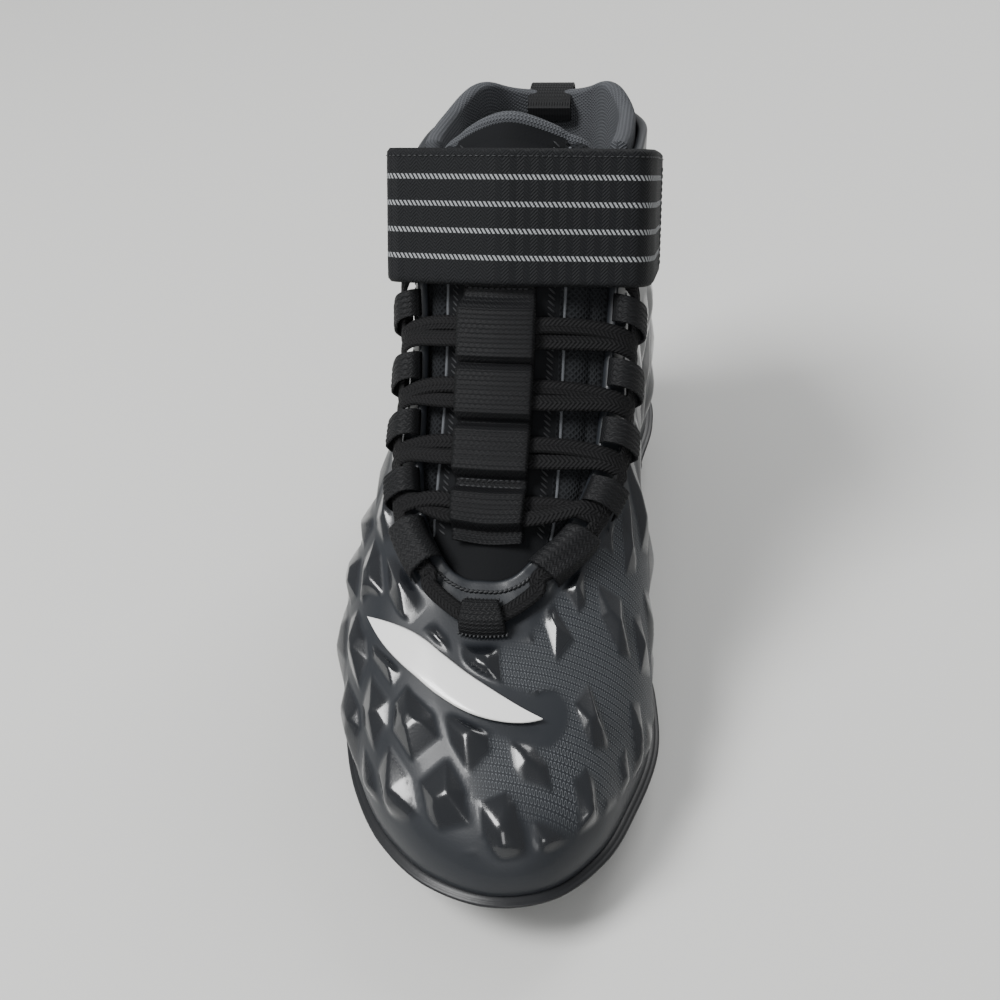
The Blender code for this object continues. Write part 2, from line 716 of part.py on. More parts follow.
def largest_island(made):
    """The object with only its largest mesh kept, counting faces that share an edge as one mesh."""
    build = bmesh.new()
    build.from_mesh(made.data)
    left, islands = set(build.faces), []
    while left:
        island, reached = [], [left.pop()]
        while reached:
            face = reached.pop()
            island.append(face)
            near = {other for edge in face.edges if len(edge.link_faces) == 2 for other in edge.link_faces}
            reached.extend(near & left)
            left -= near
        islands.append(island)
    islands.sort(key=len)
    loose = [face for island in islands[:-1] for face in island]
    bmesh.ops.delete(build, geom=loose, context="FACES")
    build.to_mesh(made.data)
    build.free()
    return made


def make_lace(material, home):
    """The lace: one half with the bar through the vamp loop, and the other half, which crosses it
    under the keeper and meets the bar's end in the lowest loop."""
    cross = 0.30 * LACE
    first, away = lace_line(half_lace(-1, LACE_LIFT, -cross), 3)
    turns = [rib_turn(3.4, 1), rib_turn(2.9, 1), 0.02, 0.0, 0.98, rib_turn(2.9, -1), rib_turn(3.4, -1)]
    climbs = [0.93, 0.90, VAMP_LOOP_CLIMB, VAMP_LOOP_CLIMB, VAMP_LOOP_CLIMB, 0.90, 0.93]
    bottom = half_lace(1, LACE_LIFT + cross, 0.0)[-2:]
    start, start_away = lace_line(half_lace(-1, LACE_LIFT, 0.0)[-2:], 1)
    end, end_away = lace_line(bottom[::-1], 1)
    if start[0, 0] < 0:
        turns, climbs = turns[::-1], climbs[::-1]
    bar = [on_upper(turn, climb, LACE_LIFT) for turn, climb in zip(turns, climbs)]
    bar_away = [upper_normal(turn, climb) for turn, climb in zip(turns, climbs)]
    low = through([*start, *bar, *end], 3)[3:]
    low_away = through([*start_away, *bar_away, *end_away], 3)[3:]
    whole = flat_cord("lace", np.concatenate([first, low[1:]]), np.concatenate([away, low_away[1:]]),
                      material, home)
    other = flat_cord("lace_half", *lace_line(half_lace(1, LACE_LIFT, cross), 3), material, home)
    return smooth(largest_island(joined(whole, [other], "MANIFOLD")))


def make_keeper(material, home):
    """The webbing down the tongue's middle, which arches over the lace at each window."""
    ribs = np.linspace(LACE_TOP + 0.3, 4.45, 48)
    rise = np.zeros_like(ribs)
    for window in WINDOWS:
        rise = np.maximum(rise, 1.0 - smooth_step(0.95, 1.35, np.abs(ribs - window) / WINDOW_HALF))
    low = GAP + 0.5 * WEBBING + 0.0004
    high = LACE_LIFT + 0.8 * LACE + 0.5 * WEBBING + 2 * ARCH_GAP
    across = np.array([-0.5, 0.0, 0.5]) * KEEPER_WIDTH
    points = [[saddle(rib, x, low + (high - low) * up) for rib, up in zip(ribs, rise)] for x in across]
    made = add_object("lace_keeper", grid_mesh("lace_keeper", np.array(points)), material, home)
    return baked(smooth(thicken(made, WEBBING, 0.0)))


def arch_profile(low, high):
    """Rows of distance from a loop's middle and lift over the surface: flat over the lace, with a
    leg down each side."""
    half = 0.5 * LACE_WIDTH + WEBBING + ARCH_GAP
    outs = np.array([-1.25, -1.05, -0.62, 0.0, 0.62, 1.05, 1.25]) * half
    lifts = [low, low + 0.5 * (high - low), high, high, high, low + 0.5 * (high - low), low]
    return open_curve(np.stack([outs, lifts], axis=-1), np.linspace(0.0, 1.0, 13))


def arch(name, points, material, home):
    """A webbing loop through a grid of points."""
    made = add_object(name, grid_mesh(name, np.array(points)), material, home)
    return baked(smooth(thicken(made, WEBBING, 0.0)))


def make_side_loops(material, home):
    """The webbing loops at the throat's edges, which hold the lace where it turns."""
    low = 0.5 * EYESTAY_STEP + GAP + 0.5 * WEBBING
    high = LACE_LIFT + 0.5 * (LACE + WEBBING) + ARCH_GAP
    profile = arch_profile(low, high)
    made = []
    for side, word in ((1, "medial"), (-1, "lateral")):
        for number, rib in enumerate([*SIDE_LOOPS, BIG_LOOP]):
            half = ribs_for(rib, 0.5 * (BIG_LOOP_WIDTH if rib == BIG_LOOP else LOOP_WIDTH))
            points = []
            for place in np.linspace(rib - half, rib + half, 5 if rib == BIG_LOOP else 3):
                reach = abs(edge_distance(place, side)) + LACE_OUT
                points.append([saddle(place, side * (reach + out), lift) for out, lift in profile])
            made.append(arch(f"{word}_loop_{number + 1}", points, material, home))
    return made


def make_vamp_loop(material, home):
    """The webbing loop in front of the throat, over the lace's lowest bar."""
    low = GAP + 0.5 * WEBBING
    high = LACE_LIFT + 0.5 * (LACE + WEBBING) + ARCH_GAP
    climb_length = np.linalg.norm(upper_surface(0.0, 0.92) - upper_surface(0.0, 0.82)) / 0.10
    turn_length = np.linalg.norm(upper_surface(0.02, 0.875) - upper_surface(-0.02, 0.875)) / 0.04
    half = 0.5 * VAMP_LOOP_WIDTH / turn_length
    profile = arch_profile(low, high)
    points = [
        [on_upper(turn, VAMP_LOOP_CLIMB + out / climb_length, lift) for out, lift in profile]
        for turn in (-half, 0.0, half)
    ]
    arch("vamp_loop", points, material, home)


def make_pull_tab(material, home):
    """The webbing tab at the heel, over the collar's edge from the outside to the inside."""
    hollow = 0.125 * TAB_WIDTH**2 / (0.30 * ANKLE_WIDTH)
    out = WALL + GAP + PADDING + GAP + 0.5 * WEBBING + hollow
    top = on_upper(0.5, 1.0, 0.0)
    up = np.array([0.0, 0.0, 1.0])
    peak = ROLL_HEIGHT + EAR_HEIGHT - 0.0020
    path = [
        on_upper(0.5, 0.86, GAP + 0.5 * WEBBING + 0.0004),
        on_upper(0.5, 0.97, GAP + 0.5 * WEBBING + 0.0012),
        top + up * (peak - 0.003) + np.array([0.0, 0.0012, 0.0]),
        top + up * peak + np.array([0.0, -0.0035, 0.0]),
        top + up * (peak - 0.003) + np.array([0.0, -out - 0.0020, 0.0]),
        on_upper(0.5, 0.97, -out - 0.0020),
    ]
    band("pull_tab", open_curve(path, np.linspace(0, 1, 20)), np.repeat([[1.0, 0, 0]], 20, axis=0),
         TAB_WIDTH, WEBBING, material, home)


def make_badge(material, home):
    """A plain bar with pointed ends on the vamp, where the facets are left flat."""
    (start_turn, _), (end_turn, _) = BADGE_ENDS
    share = np.linspace(0.0, 1.0, 13)
    half = BADGE_HALF * np.minimum(1.0, 3.2 * np.minimum(share, 1.0 - share) + 0.02)
    across = np.linspace(-0.9, 0.9, 5)
    turns = start_turn + np.mod(end_turn - start_turn, 1.0) * share
    climbs = badge_middle(share)[None, :] + across[:, None] * half[None, :]
    turns = np.broadcast_to(turns, climbs.shape)
    points = on_upper(turns, climbs, GAP + 0.0010)
    made = add_object("vamp_badge", grid_mesh("vamp_badge", points), material, home)
    return smooth(thicken(made, BADGE, 1.0))


def strap_axes():
    """The strap's own directions: back and down round the ankle, and up across its width."""
    back = np.array([0.0, math.cos(STRAP_TILT), -math.sin(STRAP_TILT)])
    up = np.array([0.0, math.sin(STRAP_TILT), math.cos(STRAP_TILT)])
    return back, up


def make_strap(wrapped, material, home):
    """The elastic strap, taut round the ankle: the convex outline of all that it wraps, seen along
    its width, from one rear quarter round the front to the other."""
    back, up = strap_axes()
    centre = np.array([0.0, STRAP_STATION, STRAP_LEVEL])
    seen = []
    for made in wrapped:
        for vertex in made.data.vertices:
            place = np.array(made.matrix_world @ vertex.co) - centre
            if abs(place @ up) < 0.5 * STRAP_WIDTH + 0.004:
                seen.append((place[0], place @ back))
    middle = np.array([0.0, STRAP_MIDDLE])
    outer = np.array([seen[k] for k in convex_hull_2d(seen)]) - middle
    outer = outer[np.argsort(np.arctan2(outer[:, 0], -outer[:, 1]))]
    distance = np.linalg.norm(outer, axis=1, keepdims=True)
    hull = middle + outer * (1.0 + (GAP + 0.5 * STRAP + STRAP_EASE) / distance)
    kept = hull[hull[:, 1] < STRAP_REACH]
    even = open_curve(kept, np.linspace(0.0, 1.0, STRAP_COLUMNS + 1))
    path = centre + even[:, :1] * [1.0, 0.0, 0.0] + even[:, 1:] * back
    return band("ankle_strap", path, np.repeat([up], len(path), axis=0), STRAP_WIDTH, STRAP, material, home)


def stand_centred(home):
    """Moves every piece so that the boot is centred over the origin and stands on the floor."""
    bpy.context.view_layer.update()
    graph = bpy.context.evaluated_depsgraph_get()
    corners = []
    for made in home.objects:
        seen = made.evaluated_get(graph)
        corners += [seen.matrix_world @ vertex.co for vertex in seen.data.vertices]
    corners = np.array(corners)
    low, high = corners.min(axis=0), corners.max(axis=0)
    frame = bpy.data.objects.new("boot_frame", None)
    home.objects.link(frame)
    for made in list(home.objects):
        if made != frame:
            made.parent = frame
    frame.location = (-0.5 * (low[0] + high[0]), -0.5 * (low[1] + high[1]), -low[2])


def main():
    """Builds the boot and stands it centred over the origin."""
    for old in list(bpy.data.objects):
        bpy.data.objects.remove(old)
    home = collection_named("football_boot")
    rubber = finish("moulded_plate", (0.020, 0.021, 0.023), 0.45)
    skin = finish("scaled_skin", (0.030, 0.033, 0.037), 0.25, coat=0.5)
    foam = finish("footbed", (0.05, 0.05, 0.055), 0.9)
    mesh = finish("tongue_mesh", (0.012, 0.013, 0.015), 0.9)
    knit = finish("lining_knit", (0.10, 0.105, 0.115), 0.95)
    webbing = finish("webbing", (0.010, 0.010, 0.012), 0.8)
    cord = finish("lace", (0.010, 0.010, 0.011), 0.85)
    gloss = finish("white_gloss", (0.80, 0.80, 0.80), 0.2, coat=0.5)
    make_outsole(rubber, home)
    make_insole(foam, home)
    upper = make_upper(skin, home)
    tongue = make_tongue(mesh, home)
    make_lining(knit, home)
    lace = make_lace(cord, home)
    keeper = make_keeper(webbing, home)
    loops = make_side_loops(webbing, home)
    make_vamp_loop(webbing, home)
    make_pull_tab(webbing, home)
    make_badge(gloss, home)
    make_strap([upper, tongue, lace, keeper, *loops], webbing, home)
    stand_centred(home)


main()
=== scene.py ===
"""The looks of a right football boot: faceted skin, moulded sole, knit tongue and collar, ribbed
webbing, a flat lace and a striped elastic strap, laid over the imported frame.

Lengths are metres. The toe points to -Y, the medial side is +X and the floor is z = 0.
"""

import logging
import math
from dataclasses import dataclass, field
from enum import Enum
from typing import Callable, Optional, Sequence, Union

import bmesh
import bpy
import numpy as np
from mathutils import Matrix, Vector

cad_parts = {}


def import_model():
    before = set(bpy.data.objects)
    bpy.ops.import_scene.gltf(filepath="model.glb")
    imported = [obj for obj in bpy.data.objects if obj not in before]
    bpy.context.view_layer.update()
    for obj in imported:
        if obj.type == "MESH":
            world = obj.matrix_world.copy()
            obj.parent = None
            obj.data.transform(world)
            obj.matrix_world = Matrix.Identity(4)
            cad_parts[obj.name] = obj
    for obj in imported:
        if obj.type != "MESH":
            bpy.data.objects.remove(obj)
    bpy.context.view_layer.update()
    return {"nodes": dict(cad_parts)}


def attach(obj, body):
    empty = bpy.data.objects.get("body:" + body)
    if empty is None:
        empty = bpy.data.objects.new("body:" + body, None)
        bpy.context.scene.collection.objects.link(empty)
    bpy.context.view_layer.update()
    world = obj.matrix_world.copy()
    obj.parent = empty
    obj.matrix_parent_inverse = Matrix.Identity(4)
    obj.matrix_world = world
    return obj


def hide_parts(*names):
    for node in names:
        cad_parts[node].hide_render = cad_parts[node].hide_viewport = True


LOG = logging.getLogger("boot")
Array = np.ndarray
Value = Union[float, "Wire"]

OFFSET = np.array([0.000996, -0.139382, 0.0])
UV = "cloth"
ROOT = "root"
SMOOTH_BAND = 0.0185
STITCH_RINGS = 7
STITCH_SIDES = 6


class Side(Enum):
    """The two sides of the boot, as signs of X."""

    MEDIAL = 1
    LATERAL = -1


def smooth_step(low: float, high: float, value: Array) -> Array:
    """An even S-curve, 3 s^2 - 2 s^3 between the two ends.

    Args:
        low: where it leaves 0.
        high: where it reaches 1.
        value: the values to read it at.

    Returns:
        Shares from 0 to 1.
    """
    share = np.clip((np.asarray(value, float) - low) / (high - low), 0.0, 1.0)
    return share * share * (3.0 - 2.0 * share)


def unit(vectors: Array) -> Array:
    """The vectors divided by their lengths."""
    return vectors / np.maximum(np.linalg.norm(vectors, axis=-1, keepdims=True), 1e-12)


def wave(value: Array) -> Array:
    """A soft ridge once a unit: (1 + cos 2 pi v) / 2."""
    return 0.5 + 0.5 * np.cos(2 * math.pi * value)


def scatter(*keys: Array) -> Array:
    """Even pseudo-random numbers from 0 to 1: the fraction of a large sine of the keys.

    Args:
        keys: up to three numbers for each place.

    Returns:
        One number for each place.
    """
    total = sum(key * weight for key, weight in zip(keys, (12.9898, 78.233, 37.719)))
    return np.mod(np.sin(total) * 43758.5453, 1.0)


def row_curves(knots: Array, place: Array) -> Array:
    """Catmull-Rom curves through rows of knots, each read at its own lengths.

    Args:
        knots: rows by knots by 3.
        place: rows by lengths along each curve.

    Returns:
        Rows by lengths by 3.
    """
    gaps = np.linalg.norm(np.diff(knots, axis=1), axis=-1)
    length = np.concatenate([np.zeros_like(gaps[:, :1]), np.cumsum(gaps, axis=1)], axis=1)
    low = np.clip((place[..., None] >= length[:, None]).sum(axis=-1) - 1, 0, knots.shape[1] - 2)
    start = np.take_along_axis(length, low, 1)
    share = ((place - start) / (np.take_along_axis(length, low + 1, 1) - start))[..., None]
    first, last = 2 * knots[:, :1] - knots[:, 1:2], 2 * knots[:, -1:] - knots[:, -2:-1]
    rows = np.concatenate([first, knots, last], axis=1)
    a, b, c, d = (np.take_along_axis(rows, (low + k)[..., None], 1) for k in range(4))
    return 0.5 * (
        2 * b + (c - a) * share + (2 * a - 5 * b + 4 * c - d) * share**2
        + (3 * b - a - 3 * c + d) * share**3
    )


@dataclass(frozen=True)
class Rib:
    """One rib of the upper, in shares of the boot's sizes."""

    foot_at: float
    foot_across: float
    top_at: float
    top_across: float
    instep: float
    collar: float
    rise: float
    swell: float
    reach: float
    slope: float


TOE_RIB = Rib(0.000, 0.130, 0.310, -0.03, 1.00, 0.00, 0.52, 0.020, 0.33, 24)
HEEL_RIB = Rib(1.000, 0.000, 0.970, 0.00, 0.00, 0.99, 0.40, 0.050, 0.34, 103)
MEDIAL_RIBS = [
    Rib(0.019, 0.285, 0.310, 0.03, 1.00, 0.00, 0.52, 0.020, 0.33, 24),
    Rib(0.074, 0.405, 0.312, 0.08, 1.01, 0.00, 0.52, 0.028, 0.33, 24),
    Rib(0.153, 0.475, 0.318, 0.13, 1.03, 0.00, 0.52, 0.035, 0.34, 26),
    Rib(0.237, 0.515, 0.334, 0.20, 1.08, 0.00, 0.52, 0.040, 0.36, 30),
    Rib(0.321, 0.490, 0.370, 0.31, 0.95, 0.09, 0.50, 0.050, 0.38, 36),
    Rib(0.400, 0.430, 0.426, 0.40, 0.80, 0.22, 0.48, 0.075, 0.40, 46),
    Rib(0.494, 0.350, 0.494, 0.43, 0.60, 0.40, 0.46, 0.105, 0.38, 60),
    Rib(0.589, 0.300, 0.563, 0.44, 0.40, 0.62, 0.44, 0.110, 0.36, 72),
    Rib(0.683, 0.300, 0.625, 0.45, 0.20, 0.86, 0.42, 0.090, 0.34, 82),
    Rib(0.779, 0.325, 0.683, 0.48, 0.00, 1.06, 0.40, 0.070, 0.34, 90),
    Rib(0.863, 0.345, 0.779, 0.50, 0.00, 1.05, 0.40, 0.060, 0.34, 93),
    Rib(0.937, 0.310, 0.874, 0.46, 0.00, 1.02, 0.40, 0.055, 0.34, 97),
    Rib(0.987, 0.185, 0.947, 0.28, 0.00, 1.00, 0.40, 0.055, 0.34, 101),
]
LATERAL_RIBS = [
    Rib(0.020, 0.075, 0.310, 0.08, 1.00, 0.00, 0.52, 0.020, 0.33, 24),
    Rib(0.069, 0.235, 0.312, 0.12, 1.01, 0.00, 0.52, 0.028, 0.33, 24),
    Rib(0.144, 0.370, 0.318, 0.17, 1.03, 0.00, 0.52, 0.038, 0.34, 26),
    Rib(0.228, 0.460, 0.334, 0.23, 1.08, 0.00, 0.52, 0.050, 0.36, 30),
    Rib(0.311, 0.510, 0.370, 0.31, 0.95, 0.09, 0.50, 0.060, 0.38, 36),
    Rib(0.395, 0.515, 0.426, 0.36, 0.80, 0.22, 0.48, 0.065, 0.40, 44),
    Rib(0.489, 0.475, 0.494, 0.38, 0.60, 0.40, 0.46, 0.065, 0.38, 56),
    Rib(0.584, 0.415, 0.563, 0.40, 0.40, 0.62, 0.44, 0.065, 0.36, 70),
    Rib(0.678, 0.365, 0.625, 0.43, 0.20, 0.86, 0.42, 0.065, 0.34, 82),
    Rib(0.773, 0.345, 0.683, 0.47, 0.00, 1.06, 0.40, 0.060, 0.34, 90),
    Rib(0.857, 0.345, 0.779, 0.50, 0.00, 1.05, 0.40, 0.055, 0.34, 93),
    Rib(0.934, 0.305, 0.874, 0.46, 0.00, 1.02, 0.40, 0.055, 0.34, 97),
    Rib(0.986, 0.180, 0.947, 0.28, 0.00, 1.00, 0.40, 0.055, 0.34, 101),
]


@dataclass
class Last:
    """The boot's form: a ring of ribs from the sole's edge to the topline, and the cover of the
    throat that the webbing and lace lie on. A turn is 0 at the toe and 0.5 at the heel, medial side
    first. A climb is 0 at the sole's edge and 1 at the topline."""

    length: float = 0.278
    ball: float = 0.104
    ankle: float = 0.078
    instep: float = 0.070
    collar: float = 0.152
    plate_height: float = 0.0155
    toe_spring: float = 0.008
    arch_rise: float = 0.007
    heel_lift: float = 0.003
    gap: float = 0.0004
    fan: float = 0.040
    crown_ribs: tuple = (4.0, 5.0, 6.0, 7.0, 8.0, 9.0, 10.0)
    crown_heights: tuple = (-0.040, 0.000, 0.045, 0.080, 0.105, 0.125, 0.200)
    crown_shifts: tuple = (0.00, -0.02, -0.04, -0.05, -0.05, -0.04, -0.03)
    cover_climbs: tuple = (0.72, 0.86, 1.0)
    ring: Array = field(init=False)
    knots: Array = field(init=False)
    around: float = field(init=False)

    def __post_init__(self) -> None:
        """Works out the ring's rows and the distance round to each rib."""
        rows = [self.row(TOE_RIB, 1)] + [self.row(rib, 1) for rib in MEDIAL_RIBS]
        rows += [self.row(HEEL_RIB, 1)] + [self.row(rib, -1) for rib in reversed(LATERAL_RIBS)]
        self.ring = np.array(rows)
        onward = np.roll(self.ring, -1, axis=0) - self.ring
        step = np.hypot(onward[:, 0], onward[:, 1]) + 0.5 * np.linalg.norm(onward[:, 2:5], axis=1)
        way = np.cumsum(step)
        self.knots = np.concatenate([[0.0], way[:-1]])
        self.around = float(way[-1])

    def row(self, rib: Rib, side: int) -> list:
        """A rib as lengths: foot, top, rise, swell, reach and slope.

        Args:
            rib: the rib.
            side: the sign of X.

        Returns:
            Its values, in the order of the ring.
        """
        return [
            side * rib.foot_across * self.ball,
            rib.foot_at * self.length,
            side * rib.top_across * self.ankle,
            rib.top_at * self.length,
            rib.instep * self.instep + rib.collar * self.collar,
            rib.rise,
            rib.swell * self.ball,
            rib.reach,
            math.radians(rib.slope),
        ]

    @property
    def heel_knot(self) -> float:
        """The distance round to the heel."""
        return float(self.knots[len(MEDIAL_RIBS) + 1])

    def place_of(self, turn: Array) -> Array:
        """The distance round for a turn, each side taking half of the turn.

        Args:
            turn: places round, 0 to 1.

        Returns:
            The distances.
        """
        turn = np.mod(np.asarray(turn, float), 1.0)
        lateral = self.heel_knot + (2 * turn - 1) * (self.around - self.heel_knot)
        return np.where(turn < 0.5, 2 * turn * self.heel_knot, lateral)

    def rows_at(self, place: Array) -> Array:
        """The ring's rows on a periodic cubic with central slopes.

        Args:
            place: distances round.

        Returns:
            A row of rib values for each distance.
        """
        count = len(self.knots)
        index = np.arange(-2, count + 3)
        knots = self.knots[index % count] + self.around * (index // count)
        rows = self.ring[index % count]
        step = np.diff(knots)
        pitch = np.diff(rows, axis=0) / step[:, None]
        before, after = step[:-1, None], step[1:, None]
        slope = (pitch[:-1] * after + pitch[1:] * before) / (before + after)
        knots, rows = knots[1:-1], rows[1:-1]
        at = np.mod(place, self.around)
        low = np.clip(np.searchsorted(knots, at, side="right") - 1, 0, len(knots) - 2)
        width = (knots[low + 1] - knots[low])[..., None]
        share = (at - knots[low])[..., None] / width
        cube, square = share**3, share**2
        return (
            rows[low] * (2 * cube - 3 * square + 1) + slope[low] * width * (cube - 2 * square + share)
            + rows[low + 1] * (3 * square - 2 * cube) + slope[low + 1] * width * (cube - square)
        )

    def rib_turn(self, rib: Array, side: int) -> Array:
        """The turn of a rib, counted from the toe on either side.

        Args:
            rib: rib numbers, whole or between two.
            side: the sign of X.

        Returns:
            The turns.
        """
        last = len(MEDIAL_RIBS) + 1
        numbers = np.arange(last + 1)
        if side > 0:
            return np.interp(rib, numbers, 0.5 * self.knots[: last + 1] / self.heel_knot)
        away = np.concatenate([[self.around], self.knots[:last:-1], [self.heel_knot]])
        share = (away - self.heel_knot) / (self.around - self.heel_knot)
        return np.interp(rib, numbers, 0.5 + 0.5 * share)

    def outline(self, turn: Array) -> tuple[Array, Array]:
        """Plan points of the sole's edge and the outward directions there.

        Args:
            turn: places round.

        Returns:
            The points and the directions.
        """
        place, nudge = self.place_of(turn), 0.0005
        ahead, behind = self.rows_at(place + nudge)[..., :2], self.rows_at(place - nudge)[..., :2]
        along = unit(ahead - behind)
        outward = np.stack([along[..., 1], -along[..., 0]], axis=-1)
        return self.rows_at(place)[..., :2], outward

    def plate_top(self, station: Array) -> Array:
        """Height of the sole's top: a sprung toe, a hollow arch and a lifted heel.

        Args:
            station: places from the toe, as shares of the length.

        Returns:
            The heights.
        """
        toe = self.toe_spring * np.clip(1.0 - station / 0.30, 0.0, 1.0) ** 2
        arch = self.arch_rise * smooth_step(0.40, 0.57, station) * (1 - smooth_step(0.57, 0.74, station))
        return self.plate_height + toe + arch + self.heel_lift * smooth_step(0.42, 0.72, station)

    def surface(self, turn: Array, climb: Array) -> Array:
        """The upper's face in the frame: a cubic Bezier up each rib, whose lower handle stands up
        and swells out and whose upper handle leans from the topline.

        Args:
            turn: places round.
            climb: places up.

        Returns:
            The points.
        """
        turn, climb = np.broadcast_arrays(np.asarray(turn, float), np.asarray(climb, float))
        rows = self.rows_at(self.place_of(turn))
        plan, outward = self.outline(turn)
        height = self.plate_top(plan[..., 1] / self.length) + self.gap
        foot = np.concatenate([plan, height[..., None]], axis=-1)
        top = rows[..., 2:5]
        rise, swell, reach, slope = (rows[..., k, None] for k in (5, 6, 7, 8))
        up = np.array([0.0, 0.0, 1.0])
        flat = np.zeros_like(outward[..., :1])
        lean = np.concatenate([unit(plan - top[..., :2] + self.fan * outward), flat], axis=-1)
        chord = np.linalg.norm(top - foot, axis=-1, keepdims=True)
        low = foot + up * rise * (top - foot)[..., 2:3] + np.concatenate([outward, flat], axis=-1) * swell
        high = top + reach * chord * (np.cos(slope) * lean - np.sin(slope) * up)
        share = climb[..., None]
        rest = 1.0 - share
        curve = foot * rest**3 + low * 3 * share * rest**2 + high * 3 * share**2 * rest + top * share**3
        return curve + OFFSET

    def normal(self, turn: Array, climb: Array) -> Array:
        """Outward direction of the face, from central differences.

        Args:
            turn: places round.
            climb: places up.

        Returns:
            The directions.
        """
        turn, climb = np.broadcast_arrays(np.asarray(turn, float), np.asarray(climb, float))
        nudge = 0.002
        along = self.surface(turn + nudge, climb) - self.surface(turn - nudge, climb)
        low, high = np.clip(climb - nudge, 0, 1), np.clip(climb + nudge, 0, 1)
        return unit(np.cross(along, self.surface(turn, high) - self.surface(turn, low)))

    def over(self, turn: Array, climb: Array, lift: Array) -> Array:
        """Points at a lift over the upper's face, or inside it where the lift is negative."""
        return self.surface(turn, climb) + np.asarray(lift)[..., None] * self.normal(turn, climb)

    def edge(self, rib: Array, side: int, climb: float = 1.0) -> Array:
        """Points of the upper's face at a rib on one side."""
        return self.surface(self.rib_turn(rib, side), climb)

    def crown(self, rib: Array) -> Array:
        """The tongue's highest line, above the middle of the throat's two edges.

        Args:
            rib: rib numbers.

        Returns:
            The points.
        """
        rib = np.asarray(rib, float)
        height = np.interp(rib, self.crown_ribs, self.crown_heights)[..., None] * self.ankle
        shift = np.interp(rib, self.crown_ribs, self.crown_shifts)[..., None] * self.ankle
        medial, lateral = self.edge(rib, 1), self.edge(rib, -1)
        step = 0.25
        onward = self.edge(rib + step, 1) + self.edge(rib + step, -1)
        onward = onward - self.edge(rib - step, 1) - self.edge(rib - step, -1)
        across = unit(medial - lateral)
        return 0.5 * (medial + lateral) + height * unit(np.cross(across, onward)) + shift * across

    def cover(self, rib: Array, across: Array) -> Array:
        """Points on the cover of the throat: a Catmull-Rom curve at each rib over the eyestays, the
        throat's edges and the crown.

        Args:
            rib: rib numbers.
            across: lengths from the crown, positive to the medial side.

        Returns:
            The points.
        """
        rib, across = np.broadcast_arrays(np.asarray(rib, float), np.asarray(across, float))
        lateral = [self.edge(rib, -1, climb) for climb in self.cover_climbs]
        medial = [self.edge(rib, 1, climb) for climb in reversed(self.cover_climbs)]
        knots = np.stack([*lateral, self.crown(rib), *medial], axis=-2)
        gaps = np.linalg.norm(np.diff(knots, axis=-2), axis=-1)
        to_crown = gaps[..., : len(self.cover_climbs)].sum(axis=-1)
        place = np.clip(to_crown + across, 0.0, gaps.sum(axis=-1))
        points = row_curves(knots.reshape(-1, *knots.shape[-2:]), place.reshape(-1, 1))
        return points.reshape(*place.shape, 3)

    def cover_frame(self, rib: Array, across: Array) -> tuple[Array, Array]:
        """Places on the cover, with directions from central differences.

        Args:
            rib: rib numbers.
            across: lengths from the crown.

        Returns:
            The points and the outward directions.
        """
        nudge, step = 0.001, 0.1
        side = self.cover(rib, across + nudge) - self.cover(rib, across - nudge)
        onward = self.cover(rib + step, across) - self.cover(rib - step, across)
        return self.cover(rib, across), unit(np.cross(side, onward))

    def edge_across(self, rib: Array, side: int) -> Array:
        """Length over the cover from the crown to the throat's edge, with the side's sign."""
        return side * np.linalg.norm(self.edge(rib, side) - self.crown(rib), axis=-1)

    def ribs_in(self, rib: float, length: float) -> float:
        """How many ribs a length along the throat is, near a rib."""
        return float(length / np.linalg.norm(self.crown(rib + 0.5) - self.crown(rib - 0.5)))


LAST = Last()


# Shader maths and materials


def operator(operation: str, reflected: bool = False) -> Callable[["Wire", Value], "Wire"]:
    """A method for one arithmetic sign.

    Args:
        operation: the Math node's operation.
        reflected: whether the other value comes first.

    Returns:
        The method.
    """
    def method(self: "Wire", other: Value) -> "Wire":
        """The result of the sign."""
        return self.flipped(operation, other) if reflected else self.math(operation, other)
    return method


class Wire:
    """A shader value that sums can be written with."""

    __add__ = __radd__ = operator("ADD")
    __sub__, __rsub__ = operator("SUBTRACT"), operator("SUBTRACT", reflected=True)
    __mul__ = __rmul__ = operator("MULTIPLY")
    __truediv__, __rtruediv__ = operator("DIVIDE"), operator("DIVIDE", reflected=True)

    def __init__(self, tree: bpy.types.NodeTree, socket: bpy.types.NodeSocket) -> None:
        """Keeps the node tree and the output socket."""
        self.tree = tree
        self.socket = socket

    def math(self, operation: str, *others: Value) -> "Wire":
        """A Math node on this value and others."""
        node = self.tree.nodes.new("ShaderNodeMath")
        node.operation = operation
        for place, value in zip(node.inputs, (self, *others)):
            plug(value, place)
        return Wire(self.tree, node.outputs[0])

    def flipped(self, operation: str, other: Value) -> "Wire":
        """A Math node with the other value first."""
        node = self.tree.nodes.new("ShaderNodeMath")
        node.operation = operation
        plug(other, node.inputs[0])
        plug(self, node.inputs[1])
        return Wire(self.tree, node.outputs[0])

    def ridge(self) -> "Wire":
        """A soft ridge once a unit, 0 to 1."""
        return (self * (2 * math.pi)).math("COSINE") * 0.5 + 0.5

    def zigzag(self) -> "Wire":
        """A straight rise and fall once a unit, 0 to 1."""
        return self.math("PINGPONG", 0.5) * 2.0

    def below(self, limit: float, soft: float) -> "Wire":
        """1 under a limit and 0 over it, with a soft step."""
        return ((limit - self) / soft + 0.5).math("MINIMUM", 1.0).math("MAXIMUM", 0.0)


def plug(value: Value, socket: bpy.types.NodeSocket) -> None:
    """Links a wire to a socket, or sets the socket to a plain value."""
    if isinstance(value, Wire):
        value.tree.links.new(value.socket, socket)
    else:
        socket.default_value = value


